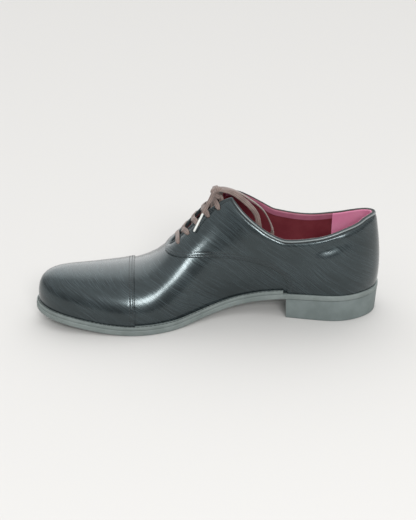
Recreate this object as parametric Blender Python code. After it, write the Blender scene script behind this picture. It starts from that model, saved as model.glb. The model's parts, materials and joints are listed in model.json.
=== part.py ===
"""Cap toe oxford, the right shoe of a pair, empty and standing on its sole.

The shoe's own frame has its zero at the back of the heel seat on the floor. +X runs to the toe, +Y to the
medial side and +Z up. Sizes are millimetres, and MM turns a finished mesh into metres. The form of the last
is a ring of upright sections. Station 0 is the heel back, the last station is the toe tip, and a ring
position t runs from the heel along the medial side to the toe and back along the lateral side. Each section
is one cubic curve from the feather line, where upper and sole meet, up to the ridge of the instep.
"""

import math

import bmesh
import bpy
import numpy as np

MM = 0.001

# Driving sizes of the shoe
SHOE_LENGTH = 300.0
BALL_WIDTH = 107.0
HEEL_HEIGHT = 20.0
OUTSOLE_THICKNESS = 5.0
WELT_THICKNESS = 3.0
INSOLE_THICKNESS = 2.5
UPPER_WALL = 2.0
OVERLAY_LEATHER = 1.1
TONGUE_LEATHER = 1.5
SEAM_GAP = 0.3
LAYER_GAP = 0.4
WELD = 0.002

# Plan of the sole, in percent: x of the shoe's length, y of the ball width. The spine carries the ridge.
PLAN_COLUMNS = ("spine_x", "spine_y", "medial_x", "medial_y", "lateral_x", "lateral_y")
PLAN = (
    (10.7, 0.0, 0.0, 0.0, 0.0, 0.0),
    (11.0, 0.0, 2.8, 19.6, 2.8, -20.6),
    (12.7, 0.0, 11.0, 31.3, 11.0, -32.7),
    (20.0, -3.3, 20.0, 28.5, 20.0, -35.3),
    (28.7, -7.0, 28.7, 21.5, 28.7, -38.8),
    (36.7, -9.4, 36.7, 15.8, 36.7, -43.6),
    (44.7, -10.0, 44.7, 15.2, 44.7, -49.8),
    (52.7, -8.4, 52.7, 23.6, 52.7, -55.3),
    (60.7, -4.7, 60.7, 36.0, 60.7, -56.6),
    (69.0, 0.0, 69.3, 42.8, 68.7, -51.6),
    (78.0, 2.3, 78.7, 41.0, 78.0, -42.0),
    (85.3, 3.3, 88.0, 34.8, 87.3, -30.4),
    (89.3, 3.7, 96.0, 24.6, 95.2, -18.6),
    (90.7, 3.7, 100.0, 3.2, 100.0, 3.2),
)

# Sections of the last, in mm: how far the sole stands out past the feather line, then the cubic's controls.
# The side bulges out past the feather line at the height of the rise, the shoulder lies that far from the
# spine and drops below the ridge, and the cone is the half width that is left at the ridge.
SECTION_COLUMNS = (
    "margin_medial", "margin_lateral", "rise", "bulge_medial", "bulge_lateral",
    "shoulder_medial", "shoulder_lateral", "drop", "cone", "ridge",
)
SECTIONS = (
    (2.8, 2.8, 22.0, 4.2, 4.2, 28.4, 28.4, 28.0, 15.0, 118.0),
    (2.8, 2.8, 22.0, 4.2, 4.2, 22.8, 23.2, 28.0, 10.5, 119.0),
    (2.8, 2.8, 22.0, 4.4, 4.4, 23.8, 23.8, 29.0, 10.5, 121.0),
    (2.9, 2.8, 22.0, 4.6, 4.6, 29.5, 29.5, 30.0, 15.5, 124.0),
    (3.3, 2.9, 22.0, 7.5, 4.6, 31.5, 31.5, 30.0, 15.5, 125.0),
    (3.9, 3.2, 22.0, 11.5, 4.4, 27.5, 29.0, 22.0, 7.0, 121.0),
    (4.2, 3.6, 22.0, 11.0, 3.6, 21.0, 25.0, 10.0, 0.6, 109.5),
    (4.2, 4.0, 22.0, 6.5, 3.0, 21.5, 28.0, 2.5, 0.0, 86.5),
    (4.2, 4.2, 22.0, 3.2, 2.6, 26.0, 32.0, 0.0, 0.0, 62.0),
    (4.2, 4.2, 22.0, 2.2, 2.4, 28.0, 31.5, 0.0, 0.0, 48.4),
    (4.2, 4.2, 21.0, 2.0, 2.0, 27.0, 28.0, 0.0, 0.0, 45.8),
    (4.2, 4.2, 21.5, 1.8, 1.8, 24.0, 24.0, 0.0, 0.0, 45.4),
    (4.2, 4.2, 22.5, 1.6, 1.6, 21.5, 21.5, 0.0, 0.0, 45.2),
    (4.2, 4.2, 23.0, 1.5, 1.5, 20.0, 20.0, 0.0, 0.0, 45.1),
)

# Underside of the outsole: heel seat, arch, flat ball and toe spring. x in percent of the length, and heights in
# percent of the heel's height.
SOLE_COLUMNS = ("along", "height")
SOLE_PROFILE = (
    (0.0, 103.0), (14.0, 100.0), (27.0, 93.0), (34.0, 77.0), (41.0, 53.0), (48.0, 28.0), (55.0, 9.0),
    (61.5, 0.0), (72.0, 0.0), (79.0, 6.0), (87.0, 22.0), (94.0, 41.0), (100.0, 56.0),
)

# Top line of the collar by station: height over the floor on each side.
TOPLINE_COLUMNS = ("station", "medial", "lateral")
TOPLINE = (
    (-1.0, 89.8, 86.6), (0.0, 89.8, 89.8), (0.5, 90.7, 88.2), (1.0, 89.9, 85.5), (1.5, 87.3, 82.0),
    (2.0, 84.6, 78.4), (3.0, 77.6, 74.2), (4.0, 74.8, 77.7), (4.5, 78.6, 84.6), (5.0, 86.2, 92.8),
    (5.4, 94.2, 98.9), (5.8, 105.4, 103.2),
)

# Seams, by station
COLLAR_CORNER = 5.8
FACING_TOP = 6.17
THROAT = 7.95
FACING_TOP_HALF_GAP, FACING_FOOT_HALF_GAP = 7.0, 4.2
TOE_CAP_SEAM = 9.27
QUARTER_SEAM_FOOT = {"medial": 3.92, "lateral": 3.62}
QUARTER_SEAM_POWER = 3.0
QUARTER_END, QUARTER_SEAM_TIP = 8.17, 8.21
BACK_SEAM_HALF_GAP = 0.01
WALL_LEVELS = np.linspace(0.0, 1.0, 11)
NORMAL_LIMIT = 0.985

# Tongue, from its top to its foot: stations, then half widths in mm, and how its top corners round off
TONGUE_TOP, TONGUE_FOOT = 6.2, 8.25
TONGUE_TOP_HALF_WIDTH, TONGUE_FOOT_HALF_WIDTH = 23.0, 17.0
TONGUE_CORNER_SHARE, TONGUE_CORNER_CUT = 0.16, 0.45

# Heel breast and welt ends, by station
HEEL_BREAST = {"medial": 3.93, "lateral": 3.55}
HEEL_BREAST_HOLLOW = 3.6
HEEL_TAPER = 1.0
WELT_START = {"medial": 4.04, "lateral": 3.74}

# Lacing
EYELET_COUNT = 5
EYELET_RADIUS = 1.7
EYELET_SIDE = 10.2
EYELET_FIRST = 6.26
EYELET_LAST = 7.7
LACE_WIDTH = 4.6
LACE_THICKNESS = 1.2
CROSSING_LIFT = 0.6
FIRST_ARM_FOOT, ARM_FOOT = 0.6, 4.2
LACE_END_RADIUS = 1.9
TIP_RADIUS = 1.5

# The bow: its knot and the loop tucked into the shoe, as hand-laid points in the shoe's frame
KNOT_CENTRE = (142.4, -10.8, 109.4)
KNOT_SIZE = (10.0, 11.0, 5.0)
LOOP_INSIDE = (
    (137.0, -8.2, 109.2), (132.4, -8.0, 108.2), (126.7, -7.8, 105.8), (119.8, -6.8, 100.6),
    (112.8, -4.8, 94.2), (108.2, -3.0, 87.6), (106.6, -2.0, 81.0), (105.4, -2.2, 74.0),
    (103.0, -4.2, 67.2), (98.8, -8.2, 62.4), (94.2, -12.6, 62.0), (92.4, -15.6, 67.0),
    (94.8, -17.0, 74.8), (99.8, -17.0, 84.4), (106.0, -16.4, 91.4), (112.6, -15.2, 97.0),
    (119.2, -14.2, 102.2), (126.4, -13.2, 106.6), (132.4, -12.8, 108.8), (137.0, -12.8, 109.6),
)

# Lengths of the bow that lie on the upper: rows of station, distance across from the spine and lift off the upper
END_MEDIAL = ((6.27, 2.15, 7.4), (6.40, 4.3, 6.8), (6.52, 6.0, 6.7), (6.63, 7.6, 6.6))
TIP_MEDIAL = ((6.66, 8.0, 6.5), (7.08, 13.6, 4.8))


def column(table, names, name):
    """One named column of a table as an array."""
    return np.array([row[names.index(name)] for row in table], float)


def periodic_spline(values):
    """Smooth closed curve through values at 0, 1, 2 and on, as a function of the ring position."""
    values = np.asarray(values, float)
    count = len(values)
    matrix = 4.0 * np.eye(count) + np.roll(np.eye(count), 1, 0) + np.roll(np.eye(count), -1, 0)
    slopes = np.linalg.solve(matrix, 3.0 * (np.roll(values, -1) - np.roll(values, 1)))

    def at(t):
        t = np.asarray(t, float) % count
        i = np.floor(t).astype(int) % count
        j = (i + 1) % count
        s = t - np.floor(t)
        rise = 3.0 * s**2 - 2.0 * s**3
        return (
            values[i] * (1.0 - rise) + values[j] * rise
            + slopes[i] * (s**3 - 2.0 * s**2 + s) + slopes[j] * (s**3 - s**2)
        )

    return at


def level_spline(xs, ys):
    """Curve through points with no overshoot, so that equal neighbours stay exactly level between them."""
    xs, ys = np.asarray(xs, float), np.asarray(ys, float)
    steps, secants = np.diff(xs), np.diff(ys) / np.diff(xs)
    slopes = np.concatenate([secants[:1], np.zeros(len(xs) - 2), secants[-1:]])
    for i in range(1, len(xs) - 1):
        if secants[i - 1] * secants[i] > 0:
            a, b = 2 * steps[i] + steps[i - 1], steps[i] + 2 * steps[i - 1]
            slopes[i] = (a + b) / (a / secants[i - 1] + b / secants[i])

    def at(x):
        x = np.clip(x, xs[0], xs[-1])
        i = np.clip(np.searchsorted(xs, x, side="right") - 1, 0, len(steps) - 1)
        s = (x - xs[i]) / steps[i]
        rise = 3 * s**2 - 2 * s**3
        return (
            ys[i] * (1 - rise) + ys[i + 1] * rise
            + steps[i] * (slopes[i] * (s**3 - 2 * s**2 + s) + slopes[i + 1] * (s**3 - s**2))
        )

    return at


def ring(table, names, medial, lateral, scale=1.0):
    """Closed spline of a table's medial column up one side and its lateral column down the other."""
    up, down = column(table, names, medial), column(table, names, lateral)
    return periodic_spline(scale * np.concatenate([up, down[-2:0:-1]]))


STATIONS = len(PLAN) - 1
RING = 2 * STATIONS
PERCENT_LENGTH = SHOE_LENGTH / 100.0
PERCENT_WIDTH = BALL_WIDTH / 100.0
SPINE_X = ring(PLAN, PLAN_COLUMNS, "spine_x", "spine_x", PERCENT_LENGTH)
SPINE_Y = ring(PLAN, PLAN_COLUMNS, "spine_y", "spine_y", PERCENT_WIDTH)
OUTLINE_X = ring(PLAN, PLAN_COLUMNS, "medial_x", "lateral_x", PERCENT_LENGTH)
OUTLINE_Y = ring(PLAN, PLAN_COLUMNS, "medial_y", "lateral_y", PERCENT_WIDTH)
MARGIN = ring(SECTIONS, SECTION_COLUMNS, "margin_medial", "margin_lateral")
BULGE = ring(SECTIONS, SECTION_COLUMNS, "bulge_medial", "bulge_lateral")
SHOULDER = ring(SECTIONS, SECTION_COLUMNS, "shoulder_medial", "shoulder_lateral")
RISE, DROP, CONE, RIDGE = (
    ring(SECTIONS, SECTION_COLUMNS, name, name) for name in ("rise", "drop", "cone", "ridge")
)
SOLE_BOTTOM = level_spline(
    column(SOLE_PROFILE, SOLE_COLUMNS, "along") * PERCENT_LENGTH,
    column(SOLE_PROFILE, SOLE_COLUMNS, "height") * HEEL_HEIGHT / 100.0,
)
TOPLINE_HEIGHT = {
    side: level_spline(column(TOPLINE, TOPLINE_COLUMNS, "station"), column(TOPLINE, TOPLINE_COLUMNS, side))
    for side in ("medial", "lateral")
}
PROFILE_STEPS = np.linspace(0.0, 1.0, 257)


def ring_position(station, side):
    """Ring position of a station on one side of the shoe."""
    return station if side == "medial" else RING - np.asarray(station, float)


def outline(t, inset=0.0):
    """Plan of the sole's edge, moved inwards by an inset."""
    step = 1e-3
    point = np.stack([OUTLINE_X(t), OUTLINE_Y(t)], -1)
    ahead = np.stack([OUTLINE_X(np.add(t, step)), OUTLINE_Y(np.add(t, step))], -1)
    behind = np.stack([OUTLINE_X(np.subtract(t, step)), OUTLINE_Y(np.subtract(t, step))], -1)
    tangent = ahead - behind
    tangent /= np.linalg.norm(tangent, axis=-1, keepdims=True)
    outward = np.stack([-tangent[..., 1], tangent[..., 0]], -1)
    return point - outward * np.asarray(inset)[..., None]


def sole_top(x):
    """Height of the outsole's upper face."""
    return SOLE_BOTTOM(x) + OUTSOLE_THICKNESS


def section(t):
    """Spine point, ray in plan, and the cubic's control radii and heights of the section at a ring position."""
    spine = np.stack([SPINE_X(t), SPINE_Y(t)], -1)
    feather = outline(t, MARGIN(t))
    reach = np.linalg.norm(feather - spine, axis=-1)
    ray = (feather - spine) / reach[..., None]
    base = sole_top(feather[..., 0]) + SEAM_GAP
    radii = np.stack([reach, reach + BULGE(t), SHOULDER(t), np.maximum(CONE(t), 0.0)], -1)
    heights = np.stack([base, base + RISE(t), RIDGE(t) - DROP(t), RIDGE(t)], -1)
    return spine, ray, radii, heights


def cubic_weights(v):
    """Weights of a cubic's four controls."""
    v = np.asarray(v, float)
    return np.stack([(1 - v) ** 3, 3 * v * (1 - v) ** 2, 3 * v**2 * (1 - v), v**3], -1)


def last_point(t, v):
    """Point of the upper's outer face: v runs from 0 at the feather line to 1 at the ridge."""
    spine, ray, radii, heights = section(t)
    weights = cubic_weights(v)
    radius = (weights * radii).sum(-1)
    return np.concatenate([spine + ray * radius[..., None], (weights * heights).sum(-1)[..., None]], -1)


def side_normal(t, v):
    """Outward normal of one side's outer face."""
    step = 1e-3
    along = last_point(t + step, v) - last_point(t - step, v)
    up = last_point(t, v + step) - last_point(t, v - step)
    normal = np.cross(up, along)
    return normal / np.linalg.norm(normal, axis=-1, keepdims=True)


def last_normal(t, v):
    """Outward normal of the upper's outer face, which turns to the mean of both sides at the ridge they share.

    Each side is read just short of the ridge, where the rays run together.
    """
    t, v = np.asarray(t, float), np.asarray(v, float)
    short = np.minimum(v, NORMAL_LIMIT)
    ridge_share = np.maximum(v - NORMAL_LIMIT, 0.0) / (1.0 - NORMAL_LIMIT)
    normal = side_normal(t, short) + side_normal(RING - t, short) * ridge_share[..., None]
    return normal / np.linalg.norm(normal, axis=-1, keepdims=True)


def form_point(t, v, offset):
    """Point that lies an offset outside the upper's outer face."""
    return last_point(t, v) + last_normal(t, v) * np.asarray(offset)[..., None]


def v_at_height(t, height):
    """Where a section passes a height."""
    _, _, _, heights = section(np.asarray(t, float))
    return float(np.interp(height, cubic_weights(PROFILE_STEPS) @ heights, PROFILE_STEPS))


def v_at_radius(t, radius):
    """Where a section's upper part lies at a distance from the spine."""
    _, _, radii, _ = section(np.asarray(t, float))
    upper_part = PROFILE_STEPS > 0.4
    curve = (cubic_weights(PROFILE_STEPS) @ radii)[upper_part]
    return float(np.interp(-radius, -curve, PROFILE_STEPS[upper_part]))


def facing_half_gap(station):
    """Half the gap between the lacing facings, which stand apart at the top and close in a round end."""
    share = max(0.0, (station - FACING_TOP) / (THROAT - FACING_TOP))
    straight = FACING_TOP_HALF_GAP + (FACING_FOOT_HALF_GAP - FACING_TOP_HALF_GAP) * share
    return straight * math.sqrt(max(0.0, 1.0 - share**4))


def top_v(station, side):
    """Upper edge of the upper: collar, then the facing's top, the facing and, past the throat, the ridge."""
    t = ring_position(station, side)
    if station >= THROAT:
        return 1.0
    if station >= FACING_TOP:
        return v_at_radius(t, facing_half_gap(station))
    if station <= COLLAR_CORNER:
        return v_at_height(t, TOPLINE_HEIGHT[side](station))
    share = (station - COLLAR_CORNER) / (FACING_TOP - COLLAR_CORNER)
    corner = v_at_height(ring_position(COLLAR_CORNER, side), TOPLINE_HEIGHT[side](COLLAR_CORNER))
    facing = v_at_radius(ring_position(FACING_TOP, side), FACING_TOP_HALF_GAP)
    return corner + (facing - corner) * share


def quarter_foot_v(station, side):
    """Lower edge of a quarter: the sole round the heel, then its seam, which rises and runs to the throat."""
    foot = QUARTER_SEAM_FOOT[side]
    t = ring_position(station, side)
    base = sole_top(outline(t)[0]) + 4 * SEAM_GAP
    if station <= foot:
        return v_at_height(t, base)
    share = (QUARTER_SEAM_TIP - station) / (QUARTER_SEAM_TIP - foot)
    lift = (1.0 - share**QUARTER_SEAM_POWER) ** (1.0 / QUARTER_SEAM_POWER)
    return v_at_height(t, base + lift * (RIDGE(QUARTER_SEAM_TIP) - base))


def quarter_top_v(station, side):
    """Upper edge of a quarter: the upper's own, and past the throat just short of the other quarter."""
    return min(top_v(station, side), v_at_radius(ring_position(station, side), SEAM_GAP))


def over_throat(station, across):
    """Ring position and v of a point that lies across from the spine, medial side positive."""
    side = "medial" if across >= 0 else "lateral"
    t = ring_position(station, side)
    return float(t), v_at_radius(t, abs(across)) if abs(across) > 1e-6 else 1.0


def material(name, colour, roughness):
    """Principled finish with a plain colour."""
    made = bpy.data.materials.new(name)
    made.use_nodes = True
    shader = made.node_tree.nodes["Principled BSDF"]
    shader.inputs["Base Color"].default_value = (*colour, 1.0)
    shader.inputs["Roughness"].default_value = roughness
    shader.inputs["Metallic"].default_value = 0.0
    return made


def finish(name, bm, finish_material, parent):
    """Turns a mesh in millimetres into a named object in metres under the shoe's empty."""
    bmesh.ops.recalc_face_normals(bm, faces=bm.faces)
    bmesh.ops.scale(bm, vec=(MM, MM, MM), verts=bm.verts)
    mesh = bpy.data.meshes.new(name)
    bm.to_mesh(mesh)
    bm.free()
    mesh.shade_smooth()
    mesh.set_sharp_from_angle(angle=math.radians(40.0))
    mesh.materials.append(finish_material)
    made = bpy.data.objects.new(name, mesh)
    bpy.context.scene.collection.objects.link(made)
    made.parent = parent
    return made


def grid_faces(columns, rows):
    """Quads of a grid whose points are listed column by column."""
    return [
        (c * rows + r, (c + 1) * rows + r, (c + 1) * rows + r + 1, c * rows + r + 1)
        for c in range(columns - 1)
        for r in range(rows - 1)
    ]


def shell(outer, inner, belt=None):
    """Closed solid between two like grids of points, welded where they meet. A belt gives the rim a middle row."""
    columns, rows = outer.shape[:2]
    bm = bmesh.new()
    inner_at = bm.verts.layers.float_vector.new("inner")
    belt_at = bm.verts.layers.float_vector.new("belt")
    points = []
    for index in np.ndindex(columns, rows):
        point = bm.verts.new(outer[index])
        point[inner_at] = inner[index]
        if belt is not None:
            point[belt_at] = belt[index]
        points.append(point)
    for face in grid_faces(columns, rows):
        bm.faces.new([points[i] for i in face])
    bmesh.ops.remove_doubles(bm, verts=bm.verts, dist=WELD)
    rim = [(e.link_loops[0].vert, e.link_loops[0].link_loop_next.vert) for e in bm.edges if e.is_boundary]
    skin, faces = list(bm.verts), list(bm.faces)
    twin = {vert: bm.verts.new(vert[inner_at]) for vert in skin}
    rim_verts = {vert for pair in rim for vert in pair} if belt is not None else set()
    edge = {vert: bm.verts.new(vert[belt_at]) for vert in rim_verts}
    for face in faces:
        bm.faces.new([twin[vert] for vert in reversed(face.verts)])
    for a, b in rim:
        if edge:
            bm.faces.new((b, a, edge[a], edge[b]))
            bm.faces.new((edge[b], edge[a], twin[a], twin[b]))
        else:
            bm.faces.new((b, a, twin[a], twin[b]))
    return bm


def wall_grid(places, low, high=top_v):
    """Ring positions and v values of a wall over (station, side) places.

    Its rows are the upper's own, so that layers lie parallel, and rows past its low or high edge close up on it.
    """
    t = np.array([ring_position(u, side) for u, side in places], float)
    v = np.array([np.clip(top_v(u, side) * WALL_LEVELS, low(u, side), high(u, side)) for u, side in places])
    return np.repeat(t[:, None], len(WALL_LEVELS), 1), v


def both_sides(stations):
    """Places up the medial side and back down the lateral side."""
    return [(u, "medial") for u in stations] + [(u, "lateral") for u in stations[-2::-1]]


def spaced(*runs):
    """Stations in runs of (start, end, steps), each run starting where the last one ended."""
    parts = [np.linspace(start, end, steps, endpoint=False) for start, end, steps in runs]
    return np.concatenate([*parts, [runs[-1][1]]])


def wall_stations(start, end):
    """The upper's stations between two of them, ends included, with every seam on a station."""
    feet = sorted(QUARTER_SEAM_FOOT.values())
    every = spaced(
        (0.0, 2.0, 7), (2.0, feet[0], 4), (feet[0], feet[0] + 0.06, 1), (feet[0] + 0.06, feet[1], 1),
        (feet[1], feet[1] + 0.06, 1), (feet[1] + 0.06, 5.2, 4), (5.2, COLLAR_CORNER, 2),
        (COLLAR_CORNER, FACING_TOP, 2), (FACING_TOP, THROAT - 0.12, 6), (THROAT - 0.12, THROAT, 1),
        (THROAT, QUARTER_END, 2), (QUARTER_END, TOE_CAP_SEAM, 3), (TOE_CAP_SEAM, 12.0, 7), (12.0, STATIONS, 5),
    )
    return [u for u in every if start - 1e-9 <= u <= end + 1e-9]


def bottom_v(station, side):
    """The feather line."""
    return 0.0


def above_welt_v(station, side):
    """Just over the welt."""
    t = ring_position(station, side)
    return v_at_height(t, sole_top(outline(t)[0]) + WELT_THICKNESS + 3 * SEAM_GAP)


def build_upper(parent, leather):
    """Hollow upper: one wall, open at the collar and throat and underneath."""
    t, v = wall_grid(both_sides(wall_stations(0.0, STATIONS)), bottom_v)
    return finish("upper", shell(form_point(t, v, 0.0), form_point(t, v, -UPPER_WALL)), leather, parent)


def overlay(name, places, edges, parent, leather):
    """Second layer of leather that lies just over the upper's outer face, between its low and high edges."""
    t, v = wall_grid(places, *edges)
    outer, inner = form_point(t, v, LAYER_GAP + OVERLAY_LEATHER), form_point(t, v, LAYER_GAP)
    return finish(name, shell(outer, inner), leather, parent)


def build_toe_cap(parent, leather):
    """Toe cap: from its seam to the toe, down to the welt."""
    places = both_sides(wall_stations(TOE_CAP_SEAM, STATIONS))
    return overlay("toe_cap", places, (above_welt_v, top_v), parent, leather)


def build_quarter(side, parent, leather):
    """Quarter: from the back seam to its throat seam on one side."""
    places = [(max(u, BACK_SEAM_HALF_GAP), side) for u in wall_stations(0.0, QUARTER_END)]
    return overlay("quarter_" + side, places, (quarter_foot_v, quarter_top_v), parent, leather)


def eyelets():
    """Place of each lace hole, as (station, side)."""
    for station in np.linspace(EYELET_FIRST, EYELET_LAST, EYELET_COUNT):
        for side in ("medial", "lateral"):
            yield station, side


def punch_eyelets(panels, parent):
    """Cuts the lace holes through the upper and the quarter over it."""
    bm = bmesh.new()
    depth = 2.5 * (UPPER_WALL + OVERLAY_LEATHER)
    for station, side in eyelets():
        t, v = over_throat(station, EYELET_SIDE if side == "medial" else -EYELET_SIDE)
        place, normal = last_point(t, v), last_normal(t, v)
        axis = np.cross((0.0, 0.0, 1.0), normal)
        across = np.cross(normal, axis / np.linalg.norm(axis))
        sides = 10
        circle = [
            EYELET_RADIUS * (math.cos(a) * axis / np.linalg.norm(axis) + math.sin(a) * across)
            for a in np.linspace(0.0, 2 * math.pi, sides, endpoint=False)
        ]
        ends = [[bm.verts.new(place + spoke + normal * reach) for spoke in circle] for reach in (-depth, depth)]
        bm.faces.new(ends[0])
        bm.faces.new(ends[1])
        for i in range(sides):
            j = (i + 1) % sides
            bm.faces.new((ends[0][i], ends[0][j], ends[1][j], ends[1][i]))
    punch = finish("eyelet_punch", bm, panels[0].data.materials[0], parent)
    punch.hide_render = True
    punch.display_type = "WIRE"
    for panel in panels:
        cut = panel.modifiers.new("lace_holes", "BOOLEAN")
        cut.operation = "DIFFERENCE"
        cut.object = punch


def build_tongue(parent, leather):
    """Tongue: a curved tab under the facings, from inside the vamp to just under their top."""
    stations = np.linspace(TONGUE_TOP, TONGUE_FOOT, 10)
    shares = np.linspace(1.0, -1.0, 11)
    under = -(UPPER_WALL + 2 * SEAM_GAP)
    spots = np.array([[over_throat(u, share * tongue_half_width(u)) for share in shares] for u in stations])
    t, v = spots[..., 0], spots[..., 1]
    outer, inner = form_point(t, v, under), form_point(t, v, under - TONGUE_LEATHER)
    return finish("tongue", shell(outer, inner), leather, parent)


def tongue_half_width(station):
    """Half the tongue's width: broad at the top with rounded corners, narrower in the vamp."""
    share = (station - TONGUE_TOP) / (TONGUE_FOOT - TONGUE_TOP)
    corner = math.sqrt(1.0 - max(0.0, 1.0 - share / TONGUE_CORNER_SHARE) ** 2 * TONGUE_CORNER_CUT)
    return (TONGUE_TOP_HALF_WIDTH * (1.0 - share) + TONGUE_FOOT_HALF_WIDTH * share) * corner


def sole_grid(stations, inset, lanes):
    """Plan points across the sole, station by station, from the medial edge to the lateral edge."""
    medial = outline(ring_position(stations, "medial"), inset(ring_position(stations, "medial")))
    lateral = outline(ring_position(stations, "lateral"), inset(ring_position(stations, "lateral")))
    share = np.linspace(0.0, 1.0, lanes)[None, :, None]
    return medial[:, None, :] * (1.0 - share) + lateral[:, None, :] * share


def raised(plan, height):
    """Plan points lifted to the heights that a function of x gives."""
    return np.concatenate([plan, height(plan[..., 0])[..., None]], -1)


def sole_stations():
    """Stations of the sole, close together where it bends and round its ends."""
    return spaced((0.0, 2.0, 9), (2.0, 8.0, 16), (8.0, 11.0, 8), (11.0, STATIONS, 10))


def build_outsole(parent, leather):
    """Outsole: its true outline with arch, flat ball and toe spring, and a softly worn edge."""
    lanes, worn_edge, top_edge = 3, 1.0, 0.4
    stations = sole_stations()
    top = raised(sole_grid(stations, lambda t: top_edge + 0 * t, lanes), sole_top)
    bottom = raised(sole_grid(stations, lambda t: worn_edge + 0 * t, lanes), SOLE_BOTTOM)
    belt = raised(sole_grid(stations, lambda t: 0 * t, lanes), lambda x: sole_top(x) - OUTSOLE_THICKNESS * 0.4)
    return finish("outsole", shell(top, bottom, belt), leather, parent)


def build_heel(parent, rubber):
    """Heel block under the seat, flat on the floor, with a hollowed breast set square to the heel."""
    lanes = 7
    shares = np.concatenate([np.linspace(0.0, 0.5, 10), np.linspace(0.5, 1.0, 6)[1:]])
    across = np.linspace(0.0, 1.0, lanes)
    hollow = HEEL_BREAST_HOLLOW * (1.0 - (2 * across - 1.0) ** 2)

    def block(inset):
        edges = []
        for side in ("medial", "lateral"):
            t = ring_position(shares * HEEL_BREAST[side], side)
            edges.append(outline(t, inset + 0 * t))
        plan = edges[0][:, None] * (1 - across[None, :, None]) + edges[1][:, None] * across[None, :, None]
        plan[..., 0] -= hollow[None, :] * shares[:, None] ** 6
        return plan

    edge, foot_bevel = 0.5, 1.2
    top = raised(block(edge), lambda x: SOLE_BOTTOM(x) - SEAM_GAP)
    bottom = raised(block(edge + HEEL_TAPER + foot_bevel * 0.5), lambda x: 0.0 * x)
    belt = raised(block(edge + HEEL_TAPER), lambda x: 0.0 * x + foot_bevel)
    return finish("heel", shell(top, bottom, belt), rubber, parent)


def welt_inner(t):
    """Inset of the welt's inner edge from the sole's outline: just clear of the upper over the welt's height."""
    reach = []
    for position in t:
        height = sole_top(outline(position)[0]) + WELT_THICKNESS + SEAM_GAP
        wall = last_point(position, v_at_height(position, height))[:2]
        spine = np.array([SPINE_X(position), SPINE_Y(position)])
        edge = outline(position)
        ray = (edge - spine) / np.linalg.norm(edge - spine)
        reach.append((edge - wall) @ ray - SEAM_GAP)
    return np.maximum(np.array(reach), 0.9)


def build_welt(parent, leather):
    """Welt: the strip on the outsole's edge round the forefoot, from heel breast to heel breast."""
    medial = np.linspace(WELT_START["medial"], STATIONS, 34)
    lateral = np.linspace(STATIONS, WELT_START["lateral"], 34)[1:]
    t = np.concatenate([medial, ring_position(lateral, "lateral")])
    inset = welt_inner(t)
    edge = 0.5

    def strip(height):
        plan = np.stack([outline(t, inset), outline(t, edge + 0 * t)], 1)
        return raised(plan, height)

    top = strip(lambda x: sole_top(x) + SEAM_GAP + WELT_THICKNESS)
    bottom = strip(lambda x: sole_top(x) + SEAM_GAP)
    return finish("welt", shell(top, bottom), leather, parent)


def build_insole(parent, leather):
    """Insole: the board that the upper is lasted to, inside it on the outsole."""
    stations = spaced((0.0, 2.0, 7), (2.0, 8.0, 10), (8.0, 11.0, 6), (11.0, STATIONS, 7))
    clear = UPPER_WALL + 2 * SEAM_GAP

    def inset(t):
        return MARGIN(t) + clear

    plan = sole_grid(stations, inset, 3)
    bottom = raised(plan, lambda x: sole_top(x) + SEAM_GAP)
    top = raised(plan, lambda x: sole_top(x) + SEAM_GAP + INSOLE_THICKNESS)
    return finish("insole", shell(top, bottom), leather, parent)


def lace_bar(name, start, end, lift, cotton, parent):
    """Flat length of lace over the throat between two eyelets, each given as (station, across)."""
    base = LAYER_GAP + OVERLAY_LEATHER + 2 * SEAM_GAP + lift
    rows = []
    for share in np.linspace(0.0, 1.0, 8):
        station = start[0] + (end[0] - start[0]) * share
        across = start[1] + (end[1] - start[1]) * share
        t, v = over_throat(station, across)
        rows.append((last_point(t, v) + last_normal(t, v) * base, last_normal(t, v)))
    places = np.array([row[0] for row in rows])
    normals = np.array([row[1] for row in rows])
    tangents = np.gradient(places, axis=0)
    widths = np.cross(normals, tangents)
    widths *= 0.5 * LACE_WIDTH / np.linalg.norm(widths, axis=-1, keepdims=True)
    low = np.stack([places - widths, places + widths], 1)
    high = low + (normals * LACE_THICKNESS)[:, None]
    return finish(name, shell(high, low), cotton, parent)


def build_lacing(parent, cotton):
    """Crossed lacing: a bar at the lowest eyelets and a cross for each pair of eyelets above.

    An arm of a cross comes up beside the edge of one facing and runs over the other facing to its upper eyelet.
    The first cross starts nearer the middle, clear of the bar.
    """
    stations = np.linspace(EYELET_LAST, EYELET_FIRST, EYELET_COUNT)
    lace_bar("lace_bar", (stations[0], EYELET_SIDE), (stations[0], -EYELET_SIDE), 0.0, cotton, parent)
    for number, (lower, upper) in enumerate(zip(stations[:-1], stations[1:]), 1):
        past_middle = FIRST_ARM_FOOT if number == 1 else ARM_FOOT
        foot = lower + (upper - lower) * 0.5 * (1.0 - past_middle / EYELET_SIDE)
        arms = [
            lace_bar(name, (foot, -sign * past_middle), (upper, sign * EYELET_SIDE), lift, cotton, parent)
            for name, sign, lift in ((f"lace_cross_{number}", 1, CROSSING_LIFT), ("lace_arm", -1, 0.0))
        ]
        arms[1].hide_render = True
        arms[1].display_type = "WIRE"
        join = arms[0].modifiers.new("crossing", "BOOLEAN")
        join.operation = "UNION"
        join.object = arms[1]


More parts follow.
